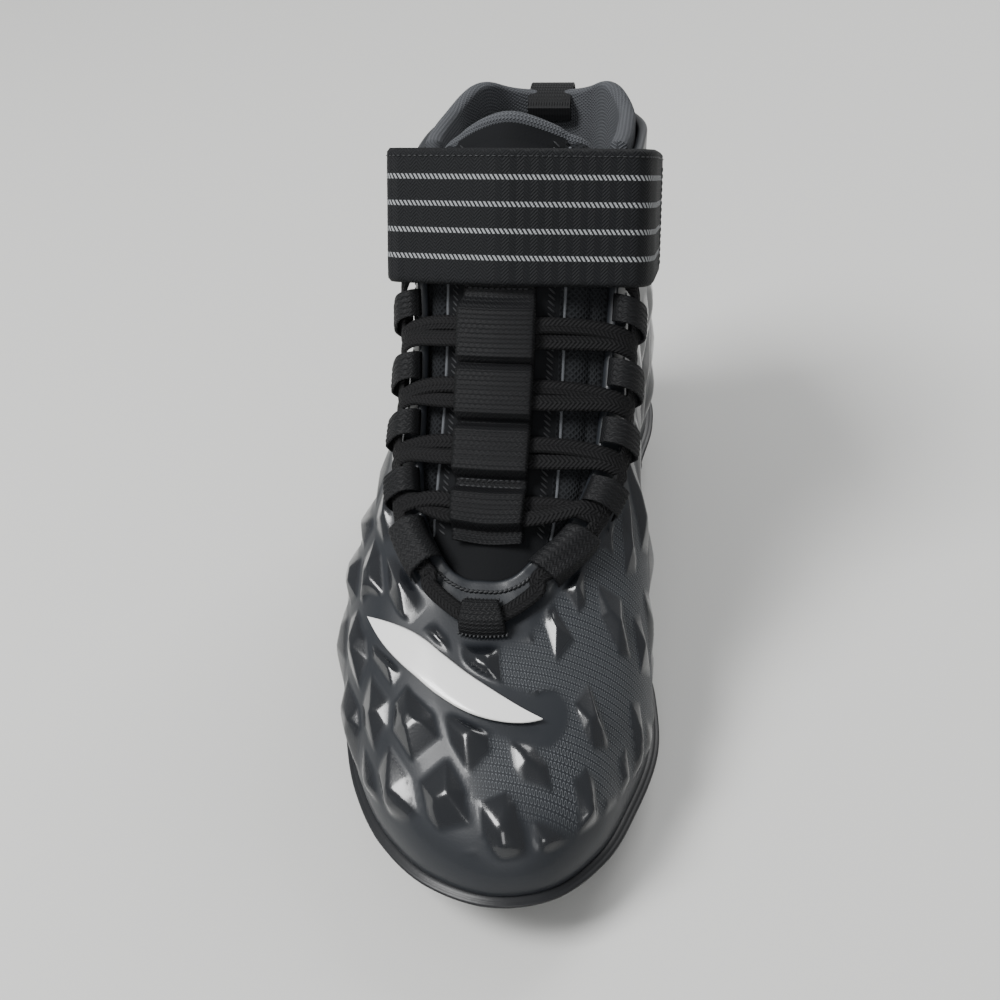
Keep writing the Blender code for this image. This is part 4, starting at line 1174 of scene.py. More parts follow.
@dataclass
class Skin:
    """The hollow upper: faceted film outside, a plain wall inside and rolled edges."""

    badge: Badge
    wall: float = 0.0025
    columns: int = 620
    outer_rows: int = 132
    inner_rows: int = 18
    edge_rows: int = 5
    gem_long: float = 0.0305
    gem_wide: float = 0.0136
    gem_tilt: float = math.radians(-58)
    gem_jitter: float = 0.46
    gem_slope: float = 0.58
    gem_top: float = 0.0030
    band: float = 0.0012
    mesh_band: float = 0.0013
    eyestay_step: float = 0.0009
    eyestay_climbs: tuple = (0.86, 0.885)
    crown_stations: tuple = (0.0, 0.02, 0.05, 0.086, 0.12, 0.17, 0.28)
    crown_heights: tuple = (0.022, 0.036, 0.055, 0.072, 0.085, 0.12, 0.15)
    ridge_softness: float = 0.008
    unroll: float = 0.8
    rear_height: float = 0.65
    rear_start: tuple = (0.12, 0.24)
    eyestay_start: tuple = (0.08, 0.10)
    low_slope: float = 0.75
    slope_spread: float = 0.5
    edge_bulge: float = 0.8
    floor: float = 0.09
    bumper: float = 0.12
    bumper_end: tuple = (0.03, 0.11)
    ceiling: float = 0.83
    vamp_drop: float = 0.05
    vamp_end: tuple = (0.02, 0.10)
    strap_drop: float = 0.30
    strap_start: tuple = (0.20, 0.30)
    floor_fade: float = 0.04
    fade: float = 0.03
    badge_clear: tuple = (1.15, 1.6)
    bare_share: float = 0.08
    mesh_across: tuple = (0.0, 0.012)
    mesh_front: tuple = (0.012, 0.026)
    mesh_back: tuple = (0.105, 0.125)
    high_depth: float = 0.0006
    dots_depth: float = 0.0003

    def chart(self, points: Array) -> tuple[Array, Array]:
        """Two lengths that unroll the face: down from the crown line, with its side's sign, and the
        station from the toe."""
        local = points - OFFSET
        crown = np.interp(local[..., 1], self.crown_stations, self.crown_heights)
        side = local[..., 0] / np.hypot(local[..., 0], self.ridge_softness)
        fall = np.clip(crown - local[..., 2], 0, None)
        return local[..., 0] + self.unroll * side * fall, local[..., 1]

    def gems(self, across: Array, along: Array) -> tuple[Array, Array]:
        """Roofs over long jittered cells: the height grows with the distance to the nearest border
        between two cells' middles, so that each cell has flat sloped faces.

        Args:
            across: the chart's first length.
            along: the chart's second length.

        Returns:
            Height over the bands, and a random number for each cell.
        """
        cosine, sine = math.cos(self.gem_tilt), math.sin(self.gem_tilt)
        first = (across * cosine + along * sine) / self.gem_long
        second = (along * cosine - across * sine) / self.gem_wide
        column, row = np.floor(first), np.floor(second)
        steps = [(i, j) for i in range(-2, 3) for j in range(-2, 3)]
        seeds, tags = [], []
        for i, j in steps:
            x, y = column + i, row + j
            jitter = self.gem_jitter
            u = x + 0.5 * np.mod(y, 2) + 0.5 + jitter * (scatter(x, y) - 0.5)
            v = y + 0.5 + jitter * (scatter(y + 7.0, x + 3.0) - 0.5)
            seeds.append(np.stack([u - first, v - second], axis=-1) * self.gem_wide)
            tags.append(scatter(x + 11.0, y + 5.0))
        seeds, tags = np.array(seeds), np.array(tags)
        far = np.linalg.norm(seeds, axis=-1)
        nearest = far.argmin(axis=0)[None]
        own = np.take_along_axis(seeds, nearest[..., None], 0)
        own_far = np.take_along_axis(far, nearest, 0)
        apart = np.linalg.norm(seeds - own, axis=-1)
        border = (far**2 - own_far**2) / np.maximum(2 * apart, 1e-6)
        border = np.where(apart < 1e-6, np.inf, border).min(axis=0)
        return border - self.band, np.take_along_axis(tags, nearest, 0)[0]

    def mask(self, turn: Array, climb: Array) -> Array:
        """How much of the relief a place has: none on the toe bumper, round the bar, on the eyestay
        and under the strap.

        Args:
            turn: places round.
            climb: places up.

        Returns:
            Shares from 0 to 1.
        """
        toe = from_toe(turn)
        floor = self.floor + self.bumper * (1.0 - smooth_step(*self.bumper_end, toe))
        ceiling = self.ceiling - self.vamp_drop * (1.0 - smooth_step(*self.vamp_end, toe))
        ceiling = ceiling - self.strap_drop * smooth_step(*self.strap_start, toe)
        up = smooth_step(floor - self.floor_fade, floor + self.fade, climb)
        down = 1.0 - smooth_step(ceiling - self.fade, ceiling + self.fade, climb)
        return up * down * smooth_step(*self.badge_clear, self.badge.distance(turn, climb))

    def build(self, finishes: Finishes) -> bpy.types.Object:
        """Builds the shell: outer rows up, an edge over the top, inner rows down and an edge below.

        Args:
            finishes: the materials.

        Returns:
            The upper.
        """
        turn = np.arange(self.columns) / self.columns
        climb = np.linspace(0.0, 1.0, self.outer_rows)
        turns, climbs = np.meshgrid(turn, climb)
        face = LAST.surface(turns, climbs)
        away = LAST.normal(turns, climbs)
        across, along = self.chart(face)
        border, tag = self.gems(across, along)
        mesh_zone = smooth_step(*self.mesh_across, across) * (1 - smooth_step(*self.mesh_back, along))
        mesh_zone = mesh_zone * smooth_step(*self.mesh_front, along) * self.mask(turns, climbs)
        kept = 1.0 - (tag < self.bare_share) * (mesh_zone > 0.5)
        slope = self.gem_slope * (self.low_slope + self.slope_spread * tag)
        height = np.clip((border - self.mesh_band * mesh_zone) * slope, 0.0, self.gem_top) * kept
        toe = from_toe(turns)
        rear = smooth_step(*self.rear_start, toe)
        height = height * self.mask(turns, climbs) * (1.0 - (1.0 - self.rear_height) * rear)
        eyestay = smooth_step(*self.eyestay_climbs, climbs) * smooth_step(*self.eyestay_start, toe)
        outer = face + (height + self.eyestay_step * eyestay)[..., None] * away
        inner_climb = np.linspace(1.0, 0.0, self.inner_rows)
        inner_turns, inner_climbs = np.meshgrid(turn, inner_climb)
        inner = LAST.over(inner_turns, inner_climbs, -self.wall + 0 * inner_turns)
        angle = np.linspace(0.0, math.pi, self.edge_rows + 2)[1:-1]
        top = self.edge(outer[-1], inner[0], outer[-1] - outer[-3], angle)
        low = self.edge(inner[-1], outer[0], outer[0] - outer[2], angle)
        points = np.concatenate([outer, top, inner, low])
        chart = np.zeros((*points.shape[:2], 2))
        chart[: self.outer_rows] = np.stack([across, along], axis=-1)
        mould = Mould()
        for word, values in (("high", np.clip(height / self.high_depth, 0, 1)),
                             ("dots", mesh_zone * (1 - np.clip(height / self.dots_depth, 0, 1)))):
            marks = np.zeros(points.shape[:2])
            marks[: self.outer_rows] = values
            mould.marks[word] = marks
        mould.grid(points, chart, wrap_rows=True)
        return mould.make("faceted_upper", finishes.skin, SKIN, ("upper",))

    def edge(self, start: Array, end: Array, onward: Array, angle: Array) -> Array:
        """A half-round edge from one face to the other.

        Args:
            start: the last row of the first face.
            end: the first row of the second face.
            onward: the first face's direction at its end.
            angle: places on the half circle.

        Returns:
            A row of points for each angle.
        """
        middle, arm = 0.5 * (start + end), 0.5 * (start - end)
        bulge = unit(onward) * 0.5 * self.wall * self.edge_bulge
        return (middle[None] + np.cos(angle)[:, None, None] * arm[None]
                + np.sin(angle)[:, None, None] * bulge[None])


@dataclass
class Sole:
    """The moulded plate with its lip, and the studs."""

    plate: float = 0.0045
    stations: int = 420
    stud_foot: float = 0.0052
    stud_root: float = 0.0088
    studs: tuple = (
        (0.084, -0.04), (0.098, 0.30), (0.177, -0.27), (0.190, 0.40), (0.274, -0.41), (0.288, 0.38),
        (0.372, -0.40), (0.377, 0.31), (0.768, -0.24), (0.768, 0.24), (0.894, -0.22), (0.894, 0.22),
    )
    root_flare: tuple = ((0.0026, 0.0), (0.0008, -0.0006), (-0.0004, -0.0020))
    tip_chamfer: tuple = ((0.0004, 0.0012), (0.0, 0.0006), (-0.0008, 0.0))
    inset: float = 0.0030
    lip: tuple = (
        (-0.0030, 0.0), (-0.0004, 0.0), (0.0008, -0.0001), (0.0013, -0.0005), (0.0017, -0.0007),
        (0.0023, -0.0008), (0.0027, -0.0011), (0.0028, -0.0016), (0.0025, -0.0021), (0.0016, -0.0024),
        (0.0004, -0.0025), (-0.0002, -0.0030), (-0.0006, -0.0038), (-0.0014, -0.0044), (-0.0030, -0.0045),
    )
    sharp_angle: float = 50.0
    stud_sides: int = 32
    stud_height: float = 0.011
    front_studs: float = 0.25

    def build(self, finishes: Finishes) -> None:
        """Builds the plate as one closed sweep, then the studs.

        Args:
            finishes: the materials.
        """
        turn = np.arange(self.stations) / self.stations
        plan, outward = LAST.outline(turn)
        level = LAST.plate_top(plan[:, 1] / LAST.length)
        opposite = np.roll(plan[::-1], 1, axis=0)
        centre = 0.5 * (plan + opposite)
        rings = []
        for out, fall in self.lip:
            ring = plan + out * outward
            rings.append(np.column_stack([ring, level + fall]))
        inner = plan - self.inset * outward
        below = [(share, self.plate) for share in (0.25, 0.5, 0.75, 1.0)]
        for share, fall in (*below, (1.0, 0.0), (0.5, 0.0)):
            rings.append(np.column_stack([inner * (1 - share) + centre * share, level - fall]))
        mould = Mould().grid(np.array(rings) + OFFSET, wrap_rows=True)
        for station, across in self.studs:
            self.add_stud(mould, station, across)
        mould.make("moulded_sole", finishes.rubber, RUBBER, ("outsole",), merge=True, sharp=self.sharp_angle)

    def add_stud(self, mould: Mould, station: float, across: float) -> None:
        """Adds one turned stud with a round root and a chamfered tip.

        Args:
            mould: the sole's mould.
            station: its place from the toe, as a share of the length.
            across: its place across, as a share of the ball.
        """
        root = float(LAST.plate_top(np.array(station))) - 0.5 * self.plate
        high = root - 0.5 * self.plate
        tip = max(0.0, high - self.stud_height) if station < self.front_studs else 0.0
        rings = [(self.stud_root + self.inset, root)]
        rings += [(self.stud_root + out, high + up) for out, up in self.root_flare]
        rings += [(self.stud_foot + out, tip + up) for out, up in self.tip_chamfer]
        angle = np.arange(self.stud_sides) / self.stud_sides * 2 * math.pi
        middle = np.array([across * LAST.ball, station * LAST.length, 0.0]) + OFFSET
        rows = [np.column_stack([radius * np.cos(angle), radius * np.sin(angle), 0 * angle + height])
                for radius, height in rings]
        mould.grid(np.array(rows) + middle)


@dataclass
class Tongue:
    """The padded tongue with its sewn line, knit sides and rolled top."""

    inside: float = -0.0053
    thickness: float = 0.0055
    tip: float = 0.008
    columns: int = 110
    rows: int = 150
    roll: float = 0.0020
    line_at: float = 0.0200
    stitches_at: float = 0.0158
    ribs: tuple = (4.3, 10.0)
    top_narrowing: float = 0.22
    fold_height: float = 0.0012
    fold_start: tuple = (0.0200, 0.0225)
    fold_from: float = 0.0205
    fold_length: float = 0.0085
    seam_depth: float = 0.0006
    seam_width: float = 0.0009
    band_height: float = 0.0004
    band_end: tuple = (SMOOTH_BAND, 0.0200)
    tip_start: tuple = (0.965, 1.0)
    roll_rows: int = 30
    roll_sides: int = 16
    roll_stitch: float = 0.0008
    piping: float = 0.00055

    def knots(self) -> Array:
        """Rows of five knots, from the root under the vamp to the tip over the collar."""
        ribs = np.linspace(*self.ribs, self.rows)
        sections = np.stack([self.tucked(ribs, -1, 0.90), self.tucked(ribs, -1, 1.0), LAST.crown(ribs),
                             self.tucked(ribs, 1, 1.0), self.tucked(ribs, 1, 0.90)], axis=1)
        root = np.stack([self.tucked(3.8, -1, 0.88), self.tucked(3.0, -1, 0.90),
                         LAST.over(np.array(0.0), np.array(0.91), np.array(self.inside)),
                         self.tucked(3.0, 1, 0.90), self.tucked(3.8, 1, 0.88)])
        early = [root + (sections[0] - root) * share for share in (0.0, 0.25, 0.5, 0.75)]
        onward = unit(LAST.crown(self.ribs[1]) - LAST.crown(self.ribs[1] - 0.6))
        late = []
        for share in np.linspace(0.0, 1.0, 14)[1:]:
            narrow = 1.0 - self.top_narrowing * share**1.5
            middle = sections[-1][2] + onward * self.tip * share
            late.append(middle + (sections[-1] - sections[-1][2]) * [narrow, narrow, 1.0])
        return np.concatenate([np.array(early), sections, np.array(late)])

    def tucked(self, rib: Array, side: int, climb: float) -> Array:
        """Points inside the upper's wall.

        Args:
            rib: rib numbers.
            side: the sign of X.
            climb: how far up the face.

        Returns:
            The points.
        """
        turn = LAST.rib_turn(rib, side)
        return LAST.over(turn, climb + 0 * turn, self.inside + 0 * turn)

    def build(self, finishes: Finishes) -> bpy.types.Object:
        """Builds the pad, its rolled top and its sewn lines.

        Args:
            finishes: the materials.

        Returns:
            The pad.
        """
        knots = self.knots()
        total = np.linalg.norm(np.diff(knots, axis=1), axis=-1).sum(axis=1)
        middle = np.linalg.norm(np.diff(knots, axis=1), axis=-1)[:, :2].sum(axis=1)
        share = np.linspace(0.0, 1.0, self.columns)
        place = share[None, :] * total[:, None] * 0.9999
        face = row_curves(knots, place)
        across = place - middle[:, None]
        away = -grid_normals(face)
        away = away * np.sign(away[..., 2:3].mean())
        along = np.broadcast_to(lengths(face[:, self.columns // 2])[:, None], across.shape)
        far = np.abs(across)
        fold = np.abs(np.sin(math.pi * (far - self.fold_from) / self.fold_length)) ** 0.7
        fold = smooth_step(*self.fold_start, far) * fold
        seam = np.exp(-(((far - self.line_at) / self.seam_width) ** 2))
        relief = self.fold_height * fold - self.seam_depth * seam
        relief = relief + self.band_height * (1 - smooth_step(*self.band_end, far))
        edge = np.sqrt(np.clip(1.0 - np.abs(2 * share - 1) ** 8, 0, 1))[None, :]
        row = np.linspace(0, 1, len(face))[:, None]
        end = np.sqrt(np.clip(1.0 - smooth_step(*self.tip_start, row) ** 2 * 0.9, 0, 1))
        upper = face + (relief * edge)[..., None] * away
        lower = face - (self.thickness * edge * end)[..., None] * away
        points = np.concatenate([upper, lower[:, -2:0:-1]], axis=1)
        chart = np.stack([across, along], axis=-1)
        chart = np.concatenate([chart, chart[:, -2:0:-1]], axis=1)
        pad = Mould().grid(points, chart).make("padded_tongue", finishes.tongue, TONGUE_KNIT, ("tongue",))
        self.build_roll(finishes, 0.5 * (upper + lower), away)
        self.build_lines(finishes, upper, away, across)
        return pad

    def build_roll(self, finishes: Finishes, core: Array, away: Array) -> None:
        """The grey knit binding round the tongue's top edge.

        Args:
            finishes: the materials.
            core: rows of points in the middle of the pad.
            away: outward directions at them.
        """
        low, rows = self.roll_rows, core.shape[0]
        left = core[rows - low: rows - 1, 1]
        right = core[rows - low: rows - 1, -2][::-1]
        path = through(np.concatenate([left[::4], core[-1, 1:-1:4], right[::4]]), 5)
        up = np.concatenate([away[rows - low: rows - 1, 1][::4], away[-1, 1:-1:4],
                             away[rows - low: rows - 1, -2][::-1][::4]])
        up = unit(through(up, 5))
        radius = self.roll * np.sqrt(np.clip(1 - np.abs(np.linspace(-1, 1, len(path))) ** 30, 0.01, 1))
        points = tube(path, up, radius * 1.1, self.roll_sides)
        span = lengths(path)[:, None] + 0 * points[..., 0]
        round_it = np.arange(self.roll_sides)[None, :] * self.roll_stitch + 0 * points[..., 0]
        mould = Mould().grid(points, np.stack([round_it, span], axis=-1))
        mould.make("tongue_binding", finishes.lining, LINING)

    def build_lines(self, finishes: Finishes, face: Array, away: Array, across: Array) -> None:
        """The pale line and the slanted stitches beside the webbing.

        Args:
            finishes: the materials.
            face: the pad's upper points.
            away: outward directions at them.
            across: their lengths from the middle.
        """
        line, thread = Mould(), Mould()
        rows = np.arange(14, len(face) - 8)
        for side in (Side.LATERAL, Side.MEDIAL):
            sign = side.value
            for mould, place in ((line, self.line_at), (thread, self.stitches_at)):
                column = np.abs(across[rows] - sign * place).argmin(axis=1)
                share = (sign * place - across[rows, column]) / np.gradient(across[rows], axis=1)[
                    np.arange(len(rows)), column]
                beside = np.clip(column + np.sign(share).astype(int), 0, across.shape[1] - 1)
                weight = np.abs(share)[:, None]
                path = face[rows, column] * (1 - weight) + face[rows, beside] * weight
                up = away[rows, column]
                if mould is line:
                    mould.grid(tube(path + 0.0002 * up, up, np.full(len(path), self.piping), 8))
                else:
                    mould.add(*stitches(path + 0.0001 * up, up, 0.0021, 0.0034, 0.00032, 50.0))
        line.make("tongue_piping", finishes.lining, LINING)
        thread.make("tongue_stitches", finishes.thread, THREAD)


@dataclass
class Collar:
    """The padded collar lining with an ear each side of the heel."""

    wall: float = 0.0025
    gap: float = 0.0007
    padding: float = 0.0060
    roll: float = 0.0035
    ear: float = 0.006
    ear_spread: float = 0.050
    start_rib: float = 10.5
    stations: int = 260
    ear_width: float = 0.022
    back: tuple = (0.12, 0.17)
    outer_climbs: tuple = (0.70, 1.0, 10)
    inner_climbs: tuple = (1.0, 0.66, 16)
    puff: float = 0.0010
    roundness: float = 0.7

    def rise(self, turn: Array) -> Array:
        """How far the roll stands over the collar.

        Args:
            turn: places round.

        Returns:
            The heights.
        """
        heel = np.abs(turn - 0.5)
        ear = np.exp(-(((heel - self.ear_spread) / self.ear_width) ** 2))
        return (1.0 - smooth_step(*self.back, heel)) * (self.roll + self.ear * ear)

    def build(self, finishes: Finishes) -> None:
        """Builds the band: up the outside, over a round top and down the inside.

        Args:
            finishes: the materials.
        """
        start_turn, end_turn = (LAST.rib_turn(self.start_rib, hand.value) for hand in Side)
        turn = np.linspace(start_turn, end_turn, self.stations)
        outside, inside = np.linspace(*self.outer_climbs), np.linspace(*self.inner_climbs)
        depth = -(self.wall + self.gap)
        outer = LAST.over(turn[:, None] + 0 * outside, outside + 0 * turn[:, None],
                          depth + 0 * turn[:, None] * outside)
        puff = self.puff * np.sin(np.linspace(0, math.pi, len(inside)))
        inner = LAST.over(turn[:, None] + 0 * inside, inside + 0 * turn[:, None],
                          depth - self.padding - puff + 0 * turn[:, None])
        up = np.array([0.0, 0.0, 1.0])
        lift = self.rise(turn)[:, None] * up
        start, end = outer[:, -1] + lift, inner[:, 0] + lift
        middle, arm = 0.5 * (start + end), 0.5 * (start - end)
        angle = np.linspace(0.0, math.pi, 12)[None, :, None]
        crest = up * 0.5 * self.padding * self.roundness
        top = middle[:, None] + np.cos(angle) * arm[:, None] + np.sin(angle) * crest
        points = np.concatenate([outer[:, :-1], top, inner[:, 1:]], axis=1)
        across = np.stack([lengths(row) for row in points])
        along = lengths(points[:, 12])[:, None] + 0 * across
        piece = Mould().grid(points, np.stack([across, along], axis=-1)).make(
            "knit_collar", finishes.lining, LINING, ("collar_lining",))


@dataclass
class Lacing:
    """The webbing down the throat, the loops at its sides and the flat lace."""

    webbing: float = 0.0012
    keeper_width: float = 0.0226
    loop_width: float = 0.0090
    big_loop_width: float = 0.0140
    vamp_loop_width: float = 0.0130
    arch_gap: float = 0.0013
    lace_width: float = 0.0054
    lace: float = 0.0014
    lift: float = 0.0034
    out: float = 0.0052
    gap: float = 0.0004
    eyestay: float = 0.0009
    side_loops: tuple = (8.25, 7.48, 6.70, 5.78)
    big_loop: float = 4.40
    windows: tuple = (7.88, 7.10, 6.25, 5.24)
    window_half: float = 0.33
    top: float = 9.1
    vamp_climb: float = 0.875
    sewn_ribs: tuple = (8.42, 8.54, 7.44, 7.54, 6.64, 6.72, 5.68, 5.80)
    cross_rib: float = 0.0016
    rib_height: float = 0.00028
    starts: tuple = ((0.0, 0.55, 0.0), (-0.28, 0.86, 0.0004))
    bar_climbs: tuple = (0.93, 0.90, 0.875, 0.875, 0.875, 0.90, 0.93)
    bar_ribs: tuple = (3.4, 2.9)
    bar_half_turn: float = 0.02
    braid: float = 0.0018
    braid_height: float = 0.00016
    strip_ends: tuple = (0.3, 4.45)
    arch_steps: tuple = (0.85, 1.42)
    legs: tuple = (-1.25, -1.05, -0.62, 0.0, 0.62, 1.05, 1.25)
    loop_rib: float = 0.0018
    loop_rib_height: float = 0.00030
    vamp_rib: float = 0.0015
    front_climb: float = 0.965
    eyestay_climb: float = 0.905

    def over_cover(self, rows: Array) -> tuple[Array, Array]:
        """Points over the throat's cover for rows of rib, across and lift, and outward directions."""
        here, away = LAST.cover_frame(rows[:, 0], rows[:, 1])
        return here + rows[:, 2:] * away, away

    def turn_at(self, rib: float, side: int, width: float, lift: float) -> list:
        """Places of the lace out, through a side loop and back.

        Args:
            rib: the loop's rib.
            side: the sign of X.
            width: the loop's width.
            lift: the lace's height over the cover.

        Returns:
            Rows of rib, across and lift.
        """
        half = LAST.ribs_in(rib, 0.5 * width + 0.25 * self.lace_width)
        corner = LAST.ribs_in(rib, 0.5 * width + 0.75 * self.lace_width)
        inwards = 0.35 * self.lace_width
        places = []
        for step, pulled in ((corner, inwards), (half, 0.0), (0.0, 0.0), (-half, 0.0), (-corner, inwards)):
            across = float(LAST.edge_across(np.array(rib + step), side)) + side * (self.out - pulled)
            places.append((rib + step, across, lift))
        return places

    def half_places(self, side: int, lift: float, crossing: float) -> list:
        """Places of one half of the lace, from under the strap to the lowest loop.

        Args:
            side: the side that it starts on.
            lift: its height over the cover.
            crossing: extra height at the windows.

        Returns:
            Rows of rib, across and lift.
        """
        places = []
        for onward, share, extra in self.starts:
            rib = self.top + onward
            places.append((rib, share * float(LAST.edge_across(np.array(rib), side)), lift + extra))
        for number, (rib, window) in enumerate(zip(self.side_loops, self.windows)):
            here = side if number % 2 == 0 else -side
            places += self.turn_at(rib, here, self.loop_width, lift)
            step = LAST.ribs_in(window, 0.45 * self.lace_width)
            places.append((window + step, here * 0.5 * self.keeper_width, lift + crossing))
            places.append((window - step, -here * 0.5 * self.keeper_width, lift + crossing))
        last = side if len(self.side_loops) % 2 == 0 else -side
        return places + self.turn_at(self.big_loop, last, self.big_loop_width, lift)[:4]

    def laid(self, places: list, steps: int) -> tuple[Array, Array]:
        """The lace's path and outward directions through places.

        Args:
            places: rows of rib, across and lift.
            steps: points from each place to the next.

        Returns:
            The points and the directions.
        """
        pitch = float(np.linalg.norm(LAST.crown(8.0) - LAST.crown(5.0)) / 3.0)
        scale = np.array([pitch, 1.0, 1.0])
        return self.over_cover(through(np.array(places) * scale, steps) / scale)

    def build_lace(self, finishes: Finishes) -> None:
        """Both halves of the lace and the bar through the vamp loop.

        Args:
            finishes: the materials.
        """
        cross = 0.5 * self.lace
        mould = Mould()
        first = self.laid(self.half_places(-1, self.lift, -cross), 20)
        second = self.laid(self.half_places(1, self.lift, cross), 20)
        medial, lateral = ([LAST.rib_turn(rib, side) for rib in self.bar_ribs] for side in (1, -1))
        front = (self.bar_half_turn, 0.0, 1.0 - self.bar_half_turn)
        turns, climbs = np.array([*medial, *front, *lateral[::-1]]), np.array(self.bar_climbs)
        ends = [self.laid(self.half_places(side, self.lift, 0.0)[-2:], 1) for side in (-1, 1)]
        start, end = (ends[0], ends[1]) if ends[0][0][0, 0] > 0 else (ends[1], ends[0])
        bar = LAST.over(turns, climbs, self.lift + 0 * turns)
        low = through(np.concatenate([start[0], bar, end[0][::-1]]), 14)
        low_away = unit(through(np.concatenate([start[1], LAST.normal(turns, climbs), end[1][::-1]]), 14))
        section = Ribbon(self.lace_width, self.lace, 18, 3.0)
        for path, away in (first, second, (low, low_away)):
            along = unit(np.gradient(path, axis=0))
            side = unit(np.cross(along, away))
            points = section.grid(len(path), on_path(path, side, unit(np.cross(side, along))),
                                  np.zeros(len(path)), lambda x: self.braid_height * wave(x / self.braid))
            mould.grid(points, section.chart(lengths(path), points, across_first=True))
        mould.make("flat_lace", finishes.lace, CORD, ("lace",))

    def window_rise(self, ribs: Array) -> Array:
        """1 over a window in the webbing and 0 between windows.

        Args:
            ribs: rib numbers.

        Returns:
            The shares.
        """
        rise = np.zeros_like(ribs)
        for window in self.windows:
            past = np.abs(ribs - window) / self.window_half
            rise = np.maximum(rise, 1.0 - smooth_step(*self.arch_steps, past))
        return rise

    def build_keeper(self, finishes: Finishes) -> None:
        """The webbing strip with real cross ribs, arched over the lace and sewn down between.

        Args:
            finishes: the materials.
        """
        past_top, low_end = self.strip_ends
        ribs = np.linspace(self.top + past_top, low_end, 760)
        rise = self.window_rise(ribs)
        low = self.gap + 0.5 * self.webbing + 0.0004
        high = self.lift + 0.8 * self.lace + 0.5 * self.webbing + self.arch_gap
        way = lengths(LAST.crown(ribs))
        section = Ribbon(self.keeper_width, self.webbing, 26, 10.0)

        def locate(station: Array, across: Array) -> tuple[Array, Array]:
            """Places on the throat's cover at the strip's ribs."""
            return LAST.cover_frame(ribs[station] + 0 * across, across + 0 * ribs[station])

        lift = low + (high - low) * rise + self.rib_height * wave(way / self.cross_rib)
        points = section.grid(len(ribs), locate, lift)
        piece = Mould().grid(points, section.chart(way, points))
        piece.make("webbing_strip", finishes.webbing, WEBBING, ("lace_keeper",))
        self.build_strip_stitches(finishes, low + 0.5 * self.webbing + 0.0003)

    def build_strip_stitches(self, finishes: Finishes, lift: float) -> None:
        """Rows of stitches round each sewn zone of the strip.

        Args:
            finishes: the materials.
            lift: their height over the cover.
        """
        mould = Mould()
        half = 0.5 * self.keeper_width - 0.0016
        across = np.linspace(-half, half, 30)
        for rib in self.sewn_ribs:
            row = np.stack([np.full_like(across, rib), across, np.full_like(across, lift)], axis=1)
            mould.add(*stitches(*self.over_cover(row), 0.0019, 0.0015, 0.0003))
        mould.make("strip_stitches", finishes.thread, THREAD)

    def arch_profile(self, low: float, high: float, count: int) -> Array:
        """A loop's outline: flat over the lace, with a leg each side.

        Args:
            low: lift of its feet.
            high: lift of its top.
            count: points on it.

        Returns:
            Rows of distance from the loop's middle and lift.
        """
        half = 0.5 * self.lace_width + self.webbing + self.arch_gap
        outs = np.array(self.legs) * half
        rises = np.array([0.0, 0.5, 1.0, 1.0, 1.0, 0.5, 0.0])
        knots = np.stack([outs, low + (high - low) * rises], axis=-1)
        total = np.linalg.norm(np.diff(knots, axis=0), axis=1).sum()
        padded = np.concatenate([knots, 0 * knots[:, :1]], axis=1)
        return row_curves(padded[None], np.linspace(0, total * 0.9999, count)[None])[0][:, :2]

    def build_loops(self, finishes: Finishes) -> None:
        """The webbing loops on both sides, ribbed along their length.

        Args:
            finishes: the materials.
        """
        low = 0.5 * self.eyestay + self.gap + 0.5 * self.webbing
        high = self.lift + 0.5 * (self.lace + self.webbing) + self.arch_gap
        profile = self.arch_profile(low, high, 60)
        for hand in Side:
            side, word = hand.value, hand.name.lower()
            for number, rib in enumerate((*self.side_loops, self.big_loop)):
                width = self.big_loop_width if rib == self.big_loop else self.loop_width
                per_rib = LAST.ribs_in(rib, 1.0)

                def locate(station: Array, across: Array) -> tuple[Array, Array]:
                    """Places over the cover, out from the throat's edge."""
                    ribs = rib + across * per_rib + 0 * station
                    reach = np.abs(LAST.edge_across(ribs, side)) + self.out + profile[station, 0]
                    return LAST.cover_frame(ribs, side * reach)

                pitch = width / round(width / self.loop_rib)
                section = Ribbon(width, self.webbing, 44, 12.0)
                points = section.grid(60, locate, profile[:, 1],
                                      lambda x: self.loop_rib_height * wave(x / pitch + 0.5))
                piece = Mould().grid(points, section.chart(lengths(profile), points, across_first=True))
                piece.make(f"{word}_webbing_{number + 1}", finishes.webbing, WEBBING,
                           (f"{word}_loop_{number + 1}",))

    def build_vamp_loop(self, finishes: Finishes) -> None:
        """The loop in front of the throat, ribbed across, with a sewn bar at each end.

        Args:
            finishes: the materials.
        """
        low = self.gap + 0.5 * self.webbing
        high = self.lift + 0.5 * (self.lace + self.webbing) + self.arch_gap
        profile = self.arch_profile(low, high, 110)
        climb_length = float(np.linalg.norm(LAST.surface(0.0, 0.92) - LAST.surface(0.0, 0.82))) / 0.10
        turn_length = float(np.linalg.norm(LAST.surface(0.02, 0.875) - LAST.surface(-0.02, 0.875))) / 0.04
        section = Ribbon(self.vamp_loop_width, self.webbing, 20, 10.0)

        def locate(station: Array, across: Array) -> tuple[Array, Array]:
            """Places over the vamp."""
            climbs = self.vamp_climb + profile[station, 0] / climb_length + 0 * across
            turns = across / turn_length + 0 * climbs
            return LAST.surface(turns, climbs), LAST.normal(turns, climbs)

